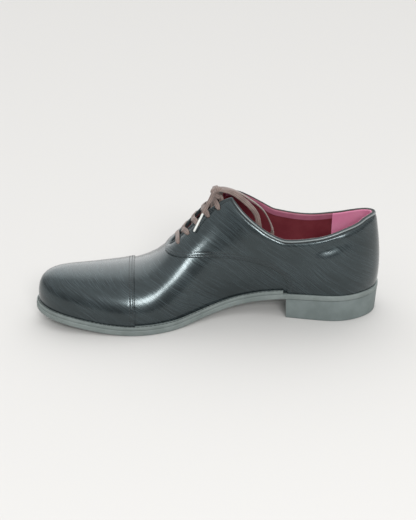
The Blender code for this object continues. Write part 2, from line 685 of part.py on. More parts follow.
def smooth_route(points, spacing):
    """Points at an even spacing along a smooth curve through hand-laid route points."""
    points = np.array(points, float)
    padded = np.vstack([2 * points[0] - points[1], points, 2 * points[-1] - points[-2]])
    dense = []
    for a, b, c, d in zip(padded, padded[1:], padded[2:], padded[3:]):
        for s in np.linspace(0.0, 1.0, 24, endpoint=False):
            dense.append(
                0.5 * (2 * b + (c - a) * s + (2 * a - 5 * b + 4 * c - d) * s**2 + (3 * b - a - 3 * c + d) * s**3)
            )
    dense = np.array([*dense, points[-1]])
    along = np.concatenate([[0.0], np.cumsum(np.linalg.norm(np.diff(dense, axis=0), axis=1))])
    stops = np.linspace(0.0, along[-1], max(2, round(along[-1] / spacing) + 1))
    return np.stack([np.interp(stops, along, dense[:, k]) for k in range(3)], -1)


def laid_route(rows):
    """Route over the upper from rows of station, distance across and lift."""
    route = []
    for station, across, lift in rows:
        t, v = over_throat(station, across)
        route.append(form_point(t, v, lift))
    return route


def build_cord(name, route, radius, cord_material, parent):
    """Round solid of a free length of lace along its route."""
    points = smooth_route(route, 2.0 * radius) * MM
    curve = bpy.data.curves.new(name, "CURVE")
    curve.dimensions = "3D"
    curve.bevel_depth = radius * MM
    curve.bevel_resolution = 2
    curve.use_fill_caps = True
    spline = curve.splines.new("POLY")
    spline.points.add(len(points) - 1)
    for spot, point in zip(spline.points, points):
        spot.co = (*point, 1.0)
    curve.materials.append(cord_material)
    made = bpy.data.objects.new(name, curve)
    bpy.context.scene.collection.objects.link(made)
    made.parent = parent
    return made


def build_knot(parent, cotton):
    """Knot of the bow, a small flattened bead over the top of the throat."""
    bm = bmesh.new()
    bmesh.ops.create_uvsphere(bm, u_segments=12, v_segments=8, radius=0.5)
    bmesh.ops.scale(bm, vec=KNOT_SIZE, verts=bm.verts)
    bmesh.ops.translate(bm, vec=KNOT_CENTRE, verts=bm.verts)
    return finish("lace_knot", bm, cotton, parent)


def build_laces(parent, cotton, tip_film):
    """Lacing over the throat, and the bow: its knot, the tucked loop, and one end with its tip."""
    build_lacing(parent, cotton)
    build_knot(parent, cotton)
    build_cord("lace_loop_inside", LOOP_INSIDE, LACE_END_RADIUS, cotton, parent)
    build_cord("lace_end_medial", laid_route(END_MEDIAL), LACE_END_RADIUS, cotton, parent)
    build_cord("lace_tip_medial", laid_route(TIP_MEDIAL), TIP_RADIUS, tip_film, parent)


def clear_scene():
    """Removes the objects that the scene starts with."""
    for made in list(bpy.data.objects):
        bpy.data.objects.remove(made)


def shoe_frame():
    """Empty that carries the shoe's zero to its place behind the middle of the sole's outline."""
    t = np.linspace(0.0, RING, 4 * 360)
    edge = outline(t)
    middle = 0.5 * (edge.min(0) + edge.max(0)) * MM
    frame = bpy.data.objects.new("shoe", None)
    frame.location = (-middle[0], -middle[1], 0.0)
    bpy.context.scene.collection.objects.link(frame)
    return frame


def main():
    """Builds the shoe from the sole up."""
    clear_scene()
    frame = shoe_frame()
    calf = material("polished_calf", (0.020, 0.022, 0.024), 0.32)
    lining = material("lining_calf", (0.30, 0.03, 0.08), 0.6)
    sole_leather = material("sole_leather", (0.16, 0.18, 0.18), 0.55)
    heel_rubber = material("heel_rubber", (0.14, 0.16, 0.16), 0.6)
    cotton = material("waxed_cotton", (0.10, 0.08, 0.07), 0.7)
    tip_film = material("clear_tip", (0.6, 0.6, 0.58), 0.3)
    build_outsole(frame, sole_leather)
    build_heel(frame, heel_rubber)
    build_welt(frame, sole_leather)
    build_insole(frame, lining)
    upper = build_upper(frame, calf)
    quarters = [build_quarter(side, frame, calf) for side in ("medial", "lateral")]
    punch_eyelets([upper, *quarters], frame)
    build_toe_cap(frame, calf)
    build_tongue(frame, calf)
    build_laces(frame, cotton, tip_film)


main()
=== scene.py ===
"""Looks of a cap toe oxford, the right shoe of a pair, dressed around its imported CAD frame.

The shoe's own frame has its zero at the back of the heel seat on the floor, with +X to the toe, +Y to the
medial side and +Z up, in millimetres. add_piece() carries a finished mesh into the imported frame, in metres.
The form of the last is the CAD source's own: a ring position t runs from the heel back along the medial side
to the toe and back along the lateral side, and v runs from the feather line, where upper and sole meet, up to
the ridge.
"""

from __future__ import annotations

import json
import logging
import math
from collections import Counter
from dataclasses import dataclass
from enum import Enum
from typing import Callable, Sequence

import bmesh
import bpy
import numpy as np
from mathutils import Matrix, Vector

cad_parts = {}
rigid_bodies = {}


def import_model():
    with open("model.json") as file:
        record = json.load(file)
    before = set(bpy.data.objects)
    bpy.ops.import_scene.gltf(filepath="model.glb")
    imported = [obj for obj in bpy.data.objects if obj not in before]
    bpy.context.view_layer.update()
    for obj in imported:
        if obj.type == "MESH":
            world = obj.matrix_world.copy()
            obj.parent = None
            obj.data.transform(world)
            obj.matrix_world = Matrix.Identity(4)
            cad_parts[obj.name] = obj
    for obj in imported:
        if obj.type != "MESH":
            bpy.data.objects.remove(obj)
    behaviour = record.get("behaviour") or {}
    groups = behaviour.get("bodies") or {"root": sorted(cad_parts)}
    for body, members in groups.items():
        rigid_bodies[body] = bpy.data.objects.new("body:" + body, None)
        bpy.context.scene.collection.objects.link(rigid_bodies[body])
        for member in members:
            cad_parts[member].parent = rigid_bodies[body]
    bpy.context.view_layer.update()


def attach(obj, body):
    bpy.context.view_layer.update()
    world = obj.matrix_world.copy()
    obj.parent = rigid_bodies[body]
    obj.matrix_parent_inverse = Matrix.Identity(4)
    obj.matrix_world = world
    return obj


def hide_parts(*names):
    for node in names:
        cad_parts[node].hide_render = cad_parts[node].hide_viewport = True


LOG = logging.getLogger("oxford")
Array = np.ndarray
Spline = Callable[[Array], Array]
Tree = bpy.types.NodeTree
Socket = bpy.types.NodeSocket
Node = bpy.types.Node
Piece = bpy.types.Object
Material = bpy.types.Material
Pair = tuple[float, float]
Triple = tuple[float, float, float]
# Points, faces and texture coordinates of a swept mesh
Swept = tuple[Array, list[Array], Array]
# Light of the surroundings: direction, cosines between which it rises, and its two strengths
Glow = tuple[Triple, float, float, float, float]
MM = 0.001
FAR = 99.0
BODY = "root"
INK = "edge_ink"
# Share of a paler grey painted along the collar's bead, a painted highlight
BEAD_HIGHLIGHT = "painted_bead_highlight"
WELD = 0.01
SHARP_ANGLE = 50.0

# Sizes of the shoe in millimetres, as in the CAD source
SHOE_LENGTH = 300.0
BALL_WIDTH = 107.0
HEEL_HEIGHT = 20.0
OUTSOLE_THICKNESS = 5.0
WELT_THICKNESS = 3.0
INSOLE_THICKNESS = 2.5
UPPER_WALL = 2.0
OVERLAY_LEATHER = 1.1
LAYER_GAP = 0.4
SEAM_GAP = 0.3
SEAM_FOOT_LIFT = 4 * SEAM_GAP
QUARTER_HALF_GAP = 0.3 * SEAM_GAP

# Seams of the upper by station, as in the CAD source
COLLAR_CORNER = 5.8
FACING_TOP = 6.17
THROAT = 7.95
FACING_TOP_HALF_GAP = 7.0
FACING_FOOT_HALF_GAP = 4.2
TOE_CAP_SEAM = 9.27
QUARTER_END = 8.17
QUARTER_SEAM_TIP = 8.21
SEAM_FOOT_MEDIAL = 3.92
SEAM_FOOT_LATERAL = 3.62
SEAM_POWER = 3.0
HEEL_GRIP_END = 2.12


class Side(Enum):
    """Sides of the shoe, by the sign of the distance across."""

    MEDIAL = 1
    LATERAL = -1


@dataclass(frozen=True)
class Table:
    """Short table with named columns."""

    names: tuple[str, ...]
    rows: tuple[tuple[float, ...], ...]

    def column(self, name: str) -> Array:
        """One named column as an array."""
        return np.array(self.rows, float)[:, self.names.index(name)]


# Plan of the sole in percent: x of the shoe's length, y of the ball width. The spine carries the ridge.
PLAN = Table(
    ("spine_x", "spine_y", "medial_x", "medial_y", "lateral_x", "lateral_y"),
    (
        (10.7, 0.0, 0.0, 0.0, 0.0, 0.0),
        (11.0, 0.0, 2.8, 19.6, 2.8, -20.6),
        (12.7, 0.0, 11.0, 31.3, 11.0, -32.7),
        (20.0, -3.3, 20.0, 28.5, 20.0, -35.3),
        (28.7, -7.0, 28.7, 21.5, 28.7, -38.8),
        (36.7, -9.4, 36.7, 15.8, 36.7, -43.6),
        (44.7, -10.0, 44.7, 15.2, 44.7, -49.8),
        (52.7, -8.4, 52.7, 23.6, 52.7, -55.3),
        (60.7, -4.7, 60.7, 36.0, 60.7, -56.6),
        (69.0, 0.0, 69.3, 42.8, 68.7, -51.6),
        (78.0, 2.3, 78.7, 41.0, 78.0, -42.0),
        (85.3, 3.3, 88.0, 34.8, 87.3, -30.4),
        (89.3, 3.7, 96.0, 24.6, 95.2, -18.6),
        (90.7, 3.7, 100.0, 3.2, 100.0, 3.2),
    ),
)

# Sections of the last in mm: the sole's margin past the feather line, then the controls of each cubic
SECTIONS = Table(
    (
        "margin_medial", "margin_lateral", "rise", "bulge_medial", "bulge_lateral",
        "shoulder_medial", "shoulder_lateral", "drop", "cone", "ridge",
    ),
    (
        (2.8, 2.8, 22.0, 4.2, 4.2, 28.4, 28.4, 28.0, 15.0, 118.0),
        (2.8, 2.8, 22.0, 4.2, 4.2, 22.8, 23.2, 28.0, 10.5, 119.0),
        (2.8, 2.8, 22.0, 4.4, 4.4, 23.8, 23.8, 29.0, 10.5, 121.0),
        (2.9, 2.8, 22.0, 4.6, 4.6, 29.5, 29.5, 30.0, 15.5, 124.0),
        (3.3, 2.9, 22.0, 7.5, 4.6, 31.5, 31.5, 30.0, 15.5, 125.0),
        (3.9, 3.2, 22.0, 11.5, 4.4, 27.5, 29.0, 22.0, 7.0, 121.0),
        (4.2, 3.6, 22.0, 11.0, 3.6, 21.0, 25.0, 10.0, 0.6, 109.5),
        (4.2, 4.0, 22.0, 6.5, 3.0, 21.5, 28.0, 2.5, 0.0, 86.5),
        (4.2, 4.2, 22.0, 3.2, 2.6, 26.0, 32.0, 0.0, 0.0, 62.0),
        (4.2, 4.2, 22.0, 2.2, 2.4, 28.0, 31.5, 0.0, 0.0, 48.4),
        (4.2, 4.2, 21.0, 2.0, 2.0, 27.0, 28.0, 0.0, 0.0, 45.8),
        (4.2, 4.2, 21.5, 1.8, 1.8, 24.0, 24.0, 0.0, 0.0, 45.4),
        (4.2, 4.2, 22.5, 1.6, 1.6, 21.5, 21.5, 0.0, 0.0, 45.2),
        (4.2, 4.2, 23.0, 1.5, 1.5, 20.0, 20.0, 0.0, 0.0, 45.1),
    ),
)

# Underside of the outsole: x in percent of the length, heights in percent of the heel's height
SOLE_PROFILE = Table(
    ("along", "height"),
    (
        (0.0, 103.0), (14.0, 100.0), (27.0, 93.0), (34.0, 77.0), (41.0, 53.0), (48.0, 28.0), (55.0, 9.0),
        (61.5, 0.0), (72.0, 0.0), (79.0, 6.0), (87.0, 22.0), (94.0, 41.0), (100.0, 56.0),
    ),
)

# Top line of the collar by station: height over the floor on each side
TOPLINE = Table(
    ("station", "medial", "lateral"),
    (
        (-1.0, 89.8, 86.6), (0.0, 89.8, 89.8), (0.5, 90.7, 88.2), (1.0, 89.9, 85.5), (1.5, 87.3, 82.0),
        (2.0, 84.6, 78.4), (3.0, 77.6, 74.2), (4.0, 74.8, 77.7), (4.5, 78.6, 84.6), (5.0, 86.2, 92.8),
        (5.4, 94.2, 98.9), (5.8, 105.4, 103.2),
    ),
)

# Main creases: ends by ring station and share of the wall's height, then depth and half width
# in mm. A positive depth is a trough and a negative one a ridge.
CREASES = Table(
    ("side", "station_0", "share_0", "station_1", "share_1", "depth", "half_width"),
    (
        (1, 3.02, 0.81, 2.20, 0.84, 1.9, 4.6),
        (1, 2.20, 0.90, 1.95, 0.62, -0.45, 4.5),
        (1, 3.30, 0.74, 2.60, 0.62, -0.35, 5.5),
        (-1, 3.02, 0.81, 2.20, 0.84, 1.3, 4.6),
        (-1, 2.20, 0.90, 1.95, 0.62, -0.40, 4.5),
        (1, 8.50, 0.98, 8.62, 0.56, 0.30, 3.2),
        (1, 8.78, 0.98, 8.92, 0.60, 0.22, 2.8),
        (-1, 8.50, 0.98, 8.55, 0.56, 0.30, 3.2),
        (-1, 8.78, 0.98, 8.82, 0.60, 0.22, 2.8),
    ),
)

# Route of the loop tucked into the shoe, as in the CAD source
LOOP_INSIDE = (
    (137.0, -8.2, 109.2), (132.4, -8.0, 108.2), (126.7, -7.8, 105.8), (119.8, -6.8, 100.6),
    (112.8, -4.8, 94.2), (108.2, -3.0, 87.6), (106.6, -2.0, 81.0), (105.4, -2.2, 74.0),
    (103.0, -4.2, 67.2), (98.8, -8.2, 62.4), (94.2, -12.6, 62.0), (92.4, -15.6, 67.0),
    (94.8, -17.0, 74.8), (99.8, -17.0, 84.4), (106.0, -16.4, 91.4), (112.6, -15.2, 97.0),
    (119.2, -14.2, 102.2), (126.4, -13.2, 106.6), (132.4, -12.8, 108.8), (137.0, -12.8, 109.6),
)
KNOT_CENTRE = (142.4, -10.8, 109.4)

# Lengths of the bow that lie on the upper: rows of station, distance across from the spine, and lift
END_MEDIAL = ((6.27, 2.15, 7.4), (6.40, 4.3, 6.8), (6.52, 6.0, 6.7), (6.63, 7.6, 6.6))
TIP_MEDIAL = ((6.66, 8.0, 6.5), (7.08, 13.6, 4.8))


def closed_spline(values: Array) -> Spline:
    """Smooth closed curve through values at 0, 1, 2 and on.

    Args:
        values: The values round the ring.

    Returns:
        Function of the ring position, a cubic with matching curvature at every value.
    """
    count = len(values)
    matrix = 4.0 * np.eye(count) + np.roll(np.eye(count), 1, 0) + np.roll(np.eye(count), -1, 0)
    slopes = np.linalg.solve(matrix, 3.0 * (np.roll(values, -1) - np.roll(values, 1)))

    def at(t: Array) -> Array:
        """Value at a ring position."""
        t = np.asarray(t, float) % count
        i = np.floor(t).astype(int) % count
        j = (i + 1) % count
        s = t - np.floor(t)
        rise = 3.0 * s**2 - 2.0 * s**3
        return (
            values[i] * (1.0 - rise) + values[j] * rise
            + slopes[i] * (s**3 - 2.0 * s**2 + s) + slopes[j] * (s**3 - s**2)
        )

    return at


def level_spline(xs: Array, ys: Array) -> Spline:
    """Curve through points with no overshoot, so that equal neighbours stay level between them.

    Args:
        xs: Rising places of the points.
        ys: Values there.

    Returns:
        Function of x, held at its end values outside the points.
    """
    steps, secants = np.diff(xs), np.diff(ys) / np.diff(xs)
    a, b = 2 * steps[1:] + steps[:-1], steps[1:] + 2 * steps[:-1]
    rising = secants[:-1] * secants[1:] > 0
    safe = np.where(rising, secants[:-1], 1.0), np.where(rising, secants[1:], 1.0)
    inner = np.where(rising, (a + b) / (a / safe[0] + b / safe[1]), 0.0)
    slopes = np.concatenate([secants[:1], inner, secants[-1:]])

    def at(x: Array) -> Array:
        """Value at a place."""
        x = np.clip(x, xs[0], xs[-1])
        i = np.clip(np.searchsorted(xs, x, side="right") - 1, 0, len(steps) - 1)
        s = (x - xs[i]) / steps[i]
        rise = 3 * s**2 - 2 * s**3
        return (
            ys[i] * (1 - rise) + ys[i + 1] * rise
            + steps[i] * (slopes[i] * (s**3 - 2 * s**2 + s) + slopes[i + 1] * (s**3 - s**2))
        )

    return at


def unit(vectors: Array) -> Array:
    """Vectors scaled to a length of one."""
    return vectors / np.maximum(np.linalg.norm(vectors, axis=-1, keepdims=True), 1e-12)


def together(*values: Array | float) -> list[Array]:
    """Values as arrays of floats with one shape."""
    return np.broadcast_arrays(*(np.asarray(value, float) for value in values))


def spaced(*runs: tuple[float, float, int]) -> Array:
    """Values in runs of (start, end, steps), each run starting where the last one ended."""
    parts = [np.linspace(start, end, steps, endpoint=False) for start, end, steps in runs]
    return np.concatenate([*parts, [runs[-1][1]]])


def interp_rows(x: Array, xp: Array, fp: Array) -> Array:
    """Linear interpolation row by row.

    Args:
        x: Places to read, a row for each curve.
        xp: Rising places of each curve's points.
        fp: Values of each curve's points.

    Returns:
        The values at x.
    """
    i = np.clip((xp[:, None, :] <= x[:, :, None]).sum(-1) - 1, 0, xp.shape[1] - 2)
    x0, x1 = np.take_along_axis(xp, i, 1), np.take_along_axis(xp, i + 1, 1)
    f0, f1 = np.take_along_axis(fp, i, 1), np.take_along_axis(fp, i + 1, 1)
    return f0 + (f1 - f0) * np.clip((x - x0) / np.maximum(x1 - x0, 1e-12), 0.0, 1.0)


def resample(line: Array, spacing: float) -> Array:
    """Points at an even spacing along a line of points.

    Args:
        line: Rows of points, with any columns.
        spacing: Distance between the new rows.

    Returns:
        The even rows.
    """
    along = np.concatenate([[0.0], np.cumsum(np.linalg.norm(np.diff(line, axis=0), axis=1))])
    stops = np.linspace(0.0, along[-1], max(2, round(along[-1] / spacing) + 1))
    return np.stack([np.interp(stops, along, line[:, k]) for k in range(line.shape[1])], -1)


def smooth_route(points: Sequence[Sequence[float]], spacing: float) -> Array:
    """Even points along a smooth curve through given ones, each span a cubic of its four neighbours.

    Args:
        points: The given points.
        spacing: Distance between the points that come back.

    Returns:
        The points along the curve.
    """
    points = np.array(points, float)
    padded = np.vstack([2 * points[0] - points[1], points, 2 * points[-1] - points[-2]])
    a, b, c, d = (padded[k:len(padded) - 3 + k, None, :] for k in range(4))
    s = np.linspace(0.0, 1.0, 24, endpoint=False)[None, :, None]
    spans = 0.5 * (2 * b + (c - a) * s + (2 * a - 5 * b + 4 * c - d) * s**2 + (3 * b - a - 3 * c + d) * s**3)
    return resample(np.vstack([spans.reshape(-1, points.shape[1]), points[-1:]]), spacing)


def distance_to(points: Array, line: Array) -> Array:
    """Distance of each point of a grid from the nearest point of a dense line.

    Args:
        points: Grid of points.
        line: Points along the line.

    Returns:
        A distance for each point.
    """
    flat = points.reshape(-1, 3).astype(np.float32)
    near = line.astype(np.float32)
    squared = (flat**2).sum(1)[:, None] + (near**2).sum(1)[None] - 2.0 * flat @ near.T
    return np.sqrt(np.maximum(squared.min(1), 0.0)).reshape(points.shape[:-1]).astype(float)


def rounded_edge(distance: Array, reach: float, drop: float) -> Array:
    """Fall of a face towards its edge: a quarter ellipse over the reach, as deep as the drop."""
    share = np.clip(1.0 - distance / reach, 0.0, 1.0)
    return drop * (1.0 - np.sqrt(1.0 - share**2))


def swell(distance: Array, place: float, half_width: float, height: float) -> Array:
    """Soft ridge, or trough where the height is negative, as a bell curve at a place."""
    return height * np.exp(-(((distance - place) / half_width) ** 2))


class Last:
    """Form of the last, worked out over whole arrays from the CAD source's tables."""

    NORMAL_LIMIT = 0.97

    def __init__(self) -> None:
        """Makes the closed splines of the plan and the sections."""
        self.stations = len(PLAN.rows) - 1
        self.ring = 2 * self.stations
        length, width = SHOE_LENGTH / 100.0, BALL_WIDTH / 100.0
        self.spine_x = self._ring(PLAN, "spine_x", "spine_x", length)
        self.spine_y = self._ring(PLAN, "spine_y", "spine_y", width)
        self.outline_x = self._ring(PLAN, "medial_x", "lateral_x", length)
        self.outline_y = self._ring(PLAN, "medial_y", "lateral_y", width)
        self.margin = self._ring(SECTIONS, "margin_medial", "margin_lateral")
        self.bulge = self._ring(SECTIONS, "bulge_medial", "bulge_lateral")
        self.shoulder = self._ring(SECTIONS, "shoulder_medial", "shoulder_lateral")
        self.rise, self.drop, self.cone, self.ridge = (
            self._ring(SECTIONS, name, name) for name in ("rise", "drop", "cone", "ridge")
        )
        self.sole_bottom = level_spline(
            SOLE_PROFILE.column("along") * length, SOLE_PROFILE.column("height") * HEEL_HEIGHT / 100.0
        )
        self.topline = {
            Side.MEDIAL: level_spline(TOPLINE.column("station"), TOPLINE.column("medial")),
            Side.LATERAL: level_spline(TOPLINE.column("station"), TOPLINE.column("lateral")),
        }
        edge = self.outline(np.linspace(0.0, self.ring, 4 * 360))
        self.middle = np.array([*(0.5 * (edge.min(0) + edge.max(0))), 0.0])

    @staticmethod
    def _ring(table: Table, medial: str, lateral: str, scale: float = 1.0) -> Spline:
        """Closed spline of one column up the medial side and another down the lateral side."""
        up, down = table.column(medial), table.column(lateral)
        return closed_spline(scale * np.concatenate([up, down[-2:0:-1]]))

    def at(self, station: Array, side: Side) -> Array:
        """Ring position of a station on one side."""
        return np.asarray(station, float) if side is Side.MEDIAL else self.ring - np.asarray(station, float)

    def station_of(self, t: Array) -> tuple[Array, Array]:
        """Station of a ring position, and whether it lies on the medial side."""
        t = np.asarray(t, float) % self.ring
        return np.minimum(t, self.ring - t), t <= self.stations

    def outline(self, t: Array, inset: Array | float = 0.0) -> Array:
        """Plan of the sole's edge, moved inwards by an inset.

        Args:
            t: Ring positions.
            inset: How far inwards.

        Returns:
            Points in plan.
        """
        t, step = np.asarray(t, float), 1e-3
        behind, point, ahead = (
            np.stack([self.outline_x(place), self.outline_y(place)], -1) for place in (t - step, t, t + step)
        )
        tangent = unit(ahead - behind)
        outward = np.stack([-tangent[..., 1], tangent[..., 0]], -1)
        return point - outward * np.asarray(inset, float)[..., None]

    def sole_top(self, x: Array) -> Array:
        """Height of the outsole's upper face."""
        return self.sole_bottom(x) + OUTSOLE_THICKNESS

    def section(self, t: Array) -> tuple[Array, Array, Array, Array]:
        """Spine point, ray in plan, and the control radii and heights of the section at a ring position.

        Args:
            t: Ring positions.

        Returns:
            Spine points, rays, radii and heights.
        """
        spine = np.stack([self.spine_x(t), self.spine_y(t)], -1)
        feather = self.outline(t, self.margin(t))
        reach = np.linalg.norm(feather - spine, axis=-1)
        base = self.sole_top(feather[..., 0]) + SEAM_GAP
        radii = np.stack([reach, reach + self.bulge(t), self.shoulder(t), np.maximum(self.cone(t), 0.0)], -1)
        ridge = self.ridge(t)
        heights = np.stack([base, base + self.rise(t), ridge - self.drop(t), ridge], -1)
        return spine, (feather - spine) / reach[..., None], radii, heights

    @staticmethod
    def weights(v: Array) -> Array:
        """Weights of a cubic's four controls."""
        v = np.asarray(v, float)
        return np.stack([(1 - v) ** 3, 3 * v * (1 - v) ** 2, 3 * v**2 * (1 - v), v**3], -1)

    def point(self, t: Array, v: Array) -> Array:
        """Point of the upper's outer face: the section's cubic, swung out along its ray.

        Args:
            t: Ring positions.
            v: Places up the section.

        Returns:
            The points.
        """
        t, v = together(t, v)
        spine, ray, radii, heights = self.section(t)
        weights = self.weights(v)
        radius = (weights * radii).sum(-1)
        return np.concatenate([spine + ray * radius[..., None], (weights * heights).sum(-1)[..., None]], -1)

    def _slope(self, t: Array, v: Array) -> Array:
        """Normal from the cross product of the two directions of the face.

        Args:
            t: Ring positions.
            v: Places up the section.

        Returns:
            Unit normals.
        """
        step = 1e-3
        along = self.point(t + step, v) - self.point(t - step, v)
        up = self.point(t, v + step) - self.point(t, v - step)
        return unit(np.cross(up, along))

    def normal(self, t: Array, v: Array) -> Array:
        """Outward normal, which turns to the mean of both sides just short of the ridge, where they meet.

        Args:
            t: Ring positions.
            v: Places up the section.

        Returns:
            Unit normals.
        """
        t, v = together(t, v)
        limit = np.minimum(v, self.NORMAL_LIMIT)
        own = self._slope(t, limit)
        ridge = unit(own + self._slope(self.ring - t, limit))
        share = np.clip((v - self.NORMAL_LIMIT) / (1.0 - self.NORMAL_LIMIT), 0.0, 1.0)[..., None]
        return unit(own * (1.0 - share) + ridge * share)

    def form(self, t: Array, v: Array, offset: Array | float) -> Array:
        """Point that lies an offset outside the upper's outer face."""
        return self.point(t, v) + self.normal(t, v) * np.asarray(offset, float)[..., None]

    def _bisect(self, t: Array, low: float, controls: int, target: Array, falling: bool) -> Array:
        """Finds v where a section's radius or height meets a target, by halving the span 40 times.

        Args:
            t: Ring positions.
            low: Start of the span, which ends at one.
            controls: Which of section()'s rows is searched.
            target: Value to meet.
            falling: Whether the values fall along the span.

        Returns:
            Values of v.
        """
        t, target = together(t, target)
        curve = self.section(t)[controls]
        start, end = np.full(t.shape, low), np.ones(t.shape)
        for _ in range(40):
            middle = 0.5 * (start + end)
            value = (self.weights(middle) * curve).sum(-1)
            past = (value < target) if falling else (value > target)
            start, end = np.where(past, start, middle), np.where(past, middle, end)
        return 0.5 * (start + end)

    def v_at_height(self, t: Array, height: Array) -> Array:
        """Where a section passes a height."""
        return self._bisect(t, 0.0, 3, height, falling=False)

    def v_at_radius(self, t: Array, radius: Array) -> Array:
        """Where a section's upper part lies at a distance from the spine."""
        return self._bisect(t, 0.4, 2, radius, falling=True)

    def across(self, station: Array, distance: Array) -> tuple[Array, Array]:
        """Ring position and v of a point that lies across from the spine, medial side positive.

        Args:
            station: Stations.
            distance: Distances across.

        Returns:
            Ring positions and v.
        """
        station, distance = together(station, distance)
        t = np.where(distance >= 0, station, self.ring - station)
        return t, self.v_at_radius(t, np.abs(distance))

    def laid(self, rows: Sequence[Sequence[float]]) -> Array:
        """Points over the upper from rows of station, distance across and lift.

        Args:
            rows: The laid rows.

        Returns:
            The points.
        """
        table = np.array(rows, float)
        t, v = self.across(table[:, 0], table[:, 1])
        return self.form(t, v, table[:, 2])

    @staticmethod
    def half_gap(station: Array) -> Array:
        """Half the gap between the facings, which stand apart at the top and close in a round end.

        Args:
            station: Stations.

        Returns:
            Distances in millimetres.
        """
        share = np.clip((station - FACING_TOP) / (THROAT - FACING_TOP), 0.0, 1.0)
        straight = FACING_TOP_HALF_GAP + (FACING_FOOT_HALF_GAP - FACING_TOP_HALF_GAP) * share
        return straight * np.sqrt(1.0 - share**4)

    def top_v(self, t: Array) -> Array:
        """Upper edge of the upper: collar, facing's top, facing and, past the throat, the ridge.

        Args:
            t: Ring positions.

        Returns:
            Values of v.
        """
        station, medial = self.station_of(t)
        held = np.minimum(station, COLLAR_CORNER)
        height = np.where(medial, self.topline[Side.MEDIAL](held), self.topline[Side.LATERAL](held))
        collar = self.v_at_height(np.where(medial, held, self.ring - held), height)
        reach = np.maximum(station, FACING_TOP)
        facing = self.v_at_radius(np.where(medial, reach, self.ring - reach), self.half_gap(reach))
        climb = np.clip((station - COLLAR_CORNER) / (FACING_TOP - COLLAR_CORNER), 0.0, 1.0)
        edge = collar + (facing - collar) * climb
        return np.where(station >= THROAT, 1.0, np.where(station >= FACING_TOP, facing, edge))

    def quarter_foot_v(self, t: Array) -> Array:
        """Lower edge of a quarter: the sole round the heel, then its seam, a super ellipse up to its tip.

        Args:
            t: Ring positions.

        Returns:
            Values of v.
        """
        station, medial = self.station_of(t)
        foot = np.where(medial, SEAM_FOOT_MEDIAL, SEAM_FOOT_LATERAL)
        base = self.sole_top(self.outline(t)[..., 0]) + SEAM_FOOT_LIFT
        share = np.clip((QUARTER_SEAM_TIP - station) / (QUARTER_SEAM_TIP - foot), 0.0, 1.0)
        lift = np.where(station <= foot, 0.0, (1.0 - share**SEAM_POWER) ** (1.0 / SEAM_POWER))
        return self.v_at_height(t, base + lift * (self.ridge(QUARTER_SEAM_TIP) - base))

    def quarter_top_v(self, t: Array) -> Array:
        """Upper edge of a quarter: the upper's own, and past the throat just short of the other quarter."""
        return np.minimum(self.top_v(t), self.v_at_radius(t, np.full(np.shape(t), QUARTER_HALF_GAP)))

    def above_sole_v(self, t: Array, height: float) -> Array:
        """Where a section passes a height over the outsole."""
        return self.v_at_height(t, self.sole_top(self.outline(t)[..., 0]) + height)

    def sheet(
        self, t: Array, low: Array, high: Array, edges: Array, inner: int
    ) -> tuple[Array, Array, Array]:
        """Grid between two edges, with its rows crowded towards both by distances in millimetres.

        Args:
            t: Ring position of each column.
            low: Lower edge of each column.
            high: Upper edge of each column.
            edges: Rising distances of the rows next to an edge, starting at zero.
            inner: Rows over the middle.

        Returns:
            Ring positions, v and the points of the upper's outer face, a row for each column.
        """
        share = np.linspace(0.0, 1.0, 81)
        fine = low[:, None] + (high - low)[:, None] * share
        line = self.point(t[:, None], fine)
        along = np.concatenate(
            [np.zeros((len(t), 1)), np.cumsum(np.linalg.norm(np.diff(line, axis=1), axis=-1), 1)], 1
        )
        total = along[:, -1:]
        near = edges[None] * np.minimum(1.0, 0.4 * total / edges[-1])
        first, last = near[:, -1:], total - near[:, -1:]
        middle = first + (last - first) * np.linspace(0.0, 1.0, inner + 2)[None, 1:-1]
        stops = np.concatenate([near, middle, total - near[:, ::-1]], 1)
        v = interp_rows(stops, along, fine)
        tt = np.repeat(t[:, None], v.shape[1], 1)
        return tt, v, self.point(tt, v)

    def walk(self, t: Array, v: Array, way: Array, distance: float) -> tuple[Array, Array]:
        """Moves ring positions and v over the face by a distance along directions that lie in it.

        Args:
            t: Ring positions.
            v: Places up the section.
            way: Unit directions in the face.
            distance: How far.

        Returns:
            The moved ring positions and v.
        """
        step = 1e-3
        along = (self.point(t + step, v) - self.point(t - step, v)) / (2 * step)
        up = (self.point(t, v + step) - self.point(t, v - step)) / (2 * step)
        aa, ab, bb = (along * along).sum(-1), (along * up).sum(-1), (up * up).sum(-1)
        wa, wb = (along * way).sum(-1), (up * way).sum(-1)
        det = np.maximum(aa * bb - ab * ab, 1e-9)
        return t + distance * (wa * bb - wb * ab) / det, v + distance * (wb * aa - wa * ab) / det


def grid_quads(index: Array) -> Array:
    """Quads of a grid of vertex numbers."""
    corners = index[:-1, :-1], index[:-1, 1:], index[1:, 1:], index[1:, :-1]
    return np.stack([corner.ravel() for corner in corners], -1)


def border(index: Array) -> Array:
    """Vertex numbers round the border of a grid, in order."""
    return np.concatenate([index[:, 0], index[-1, 1:], index[-2::-1, -1], index[0, -2:0:-1]])


def wall_quads(upper: Array, lower: Array) -> Array:
    """Quads between two closed loops of vertex numbers."""
    return np.stack([upper, np.roll(upper, -1), np.roll(lower, -1), lower], -1)


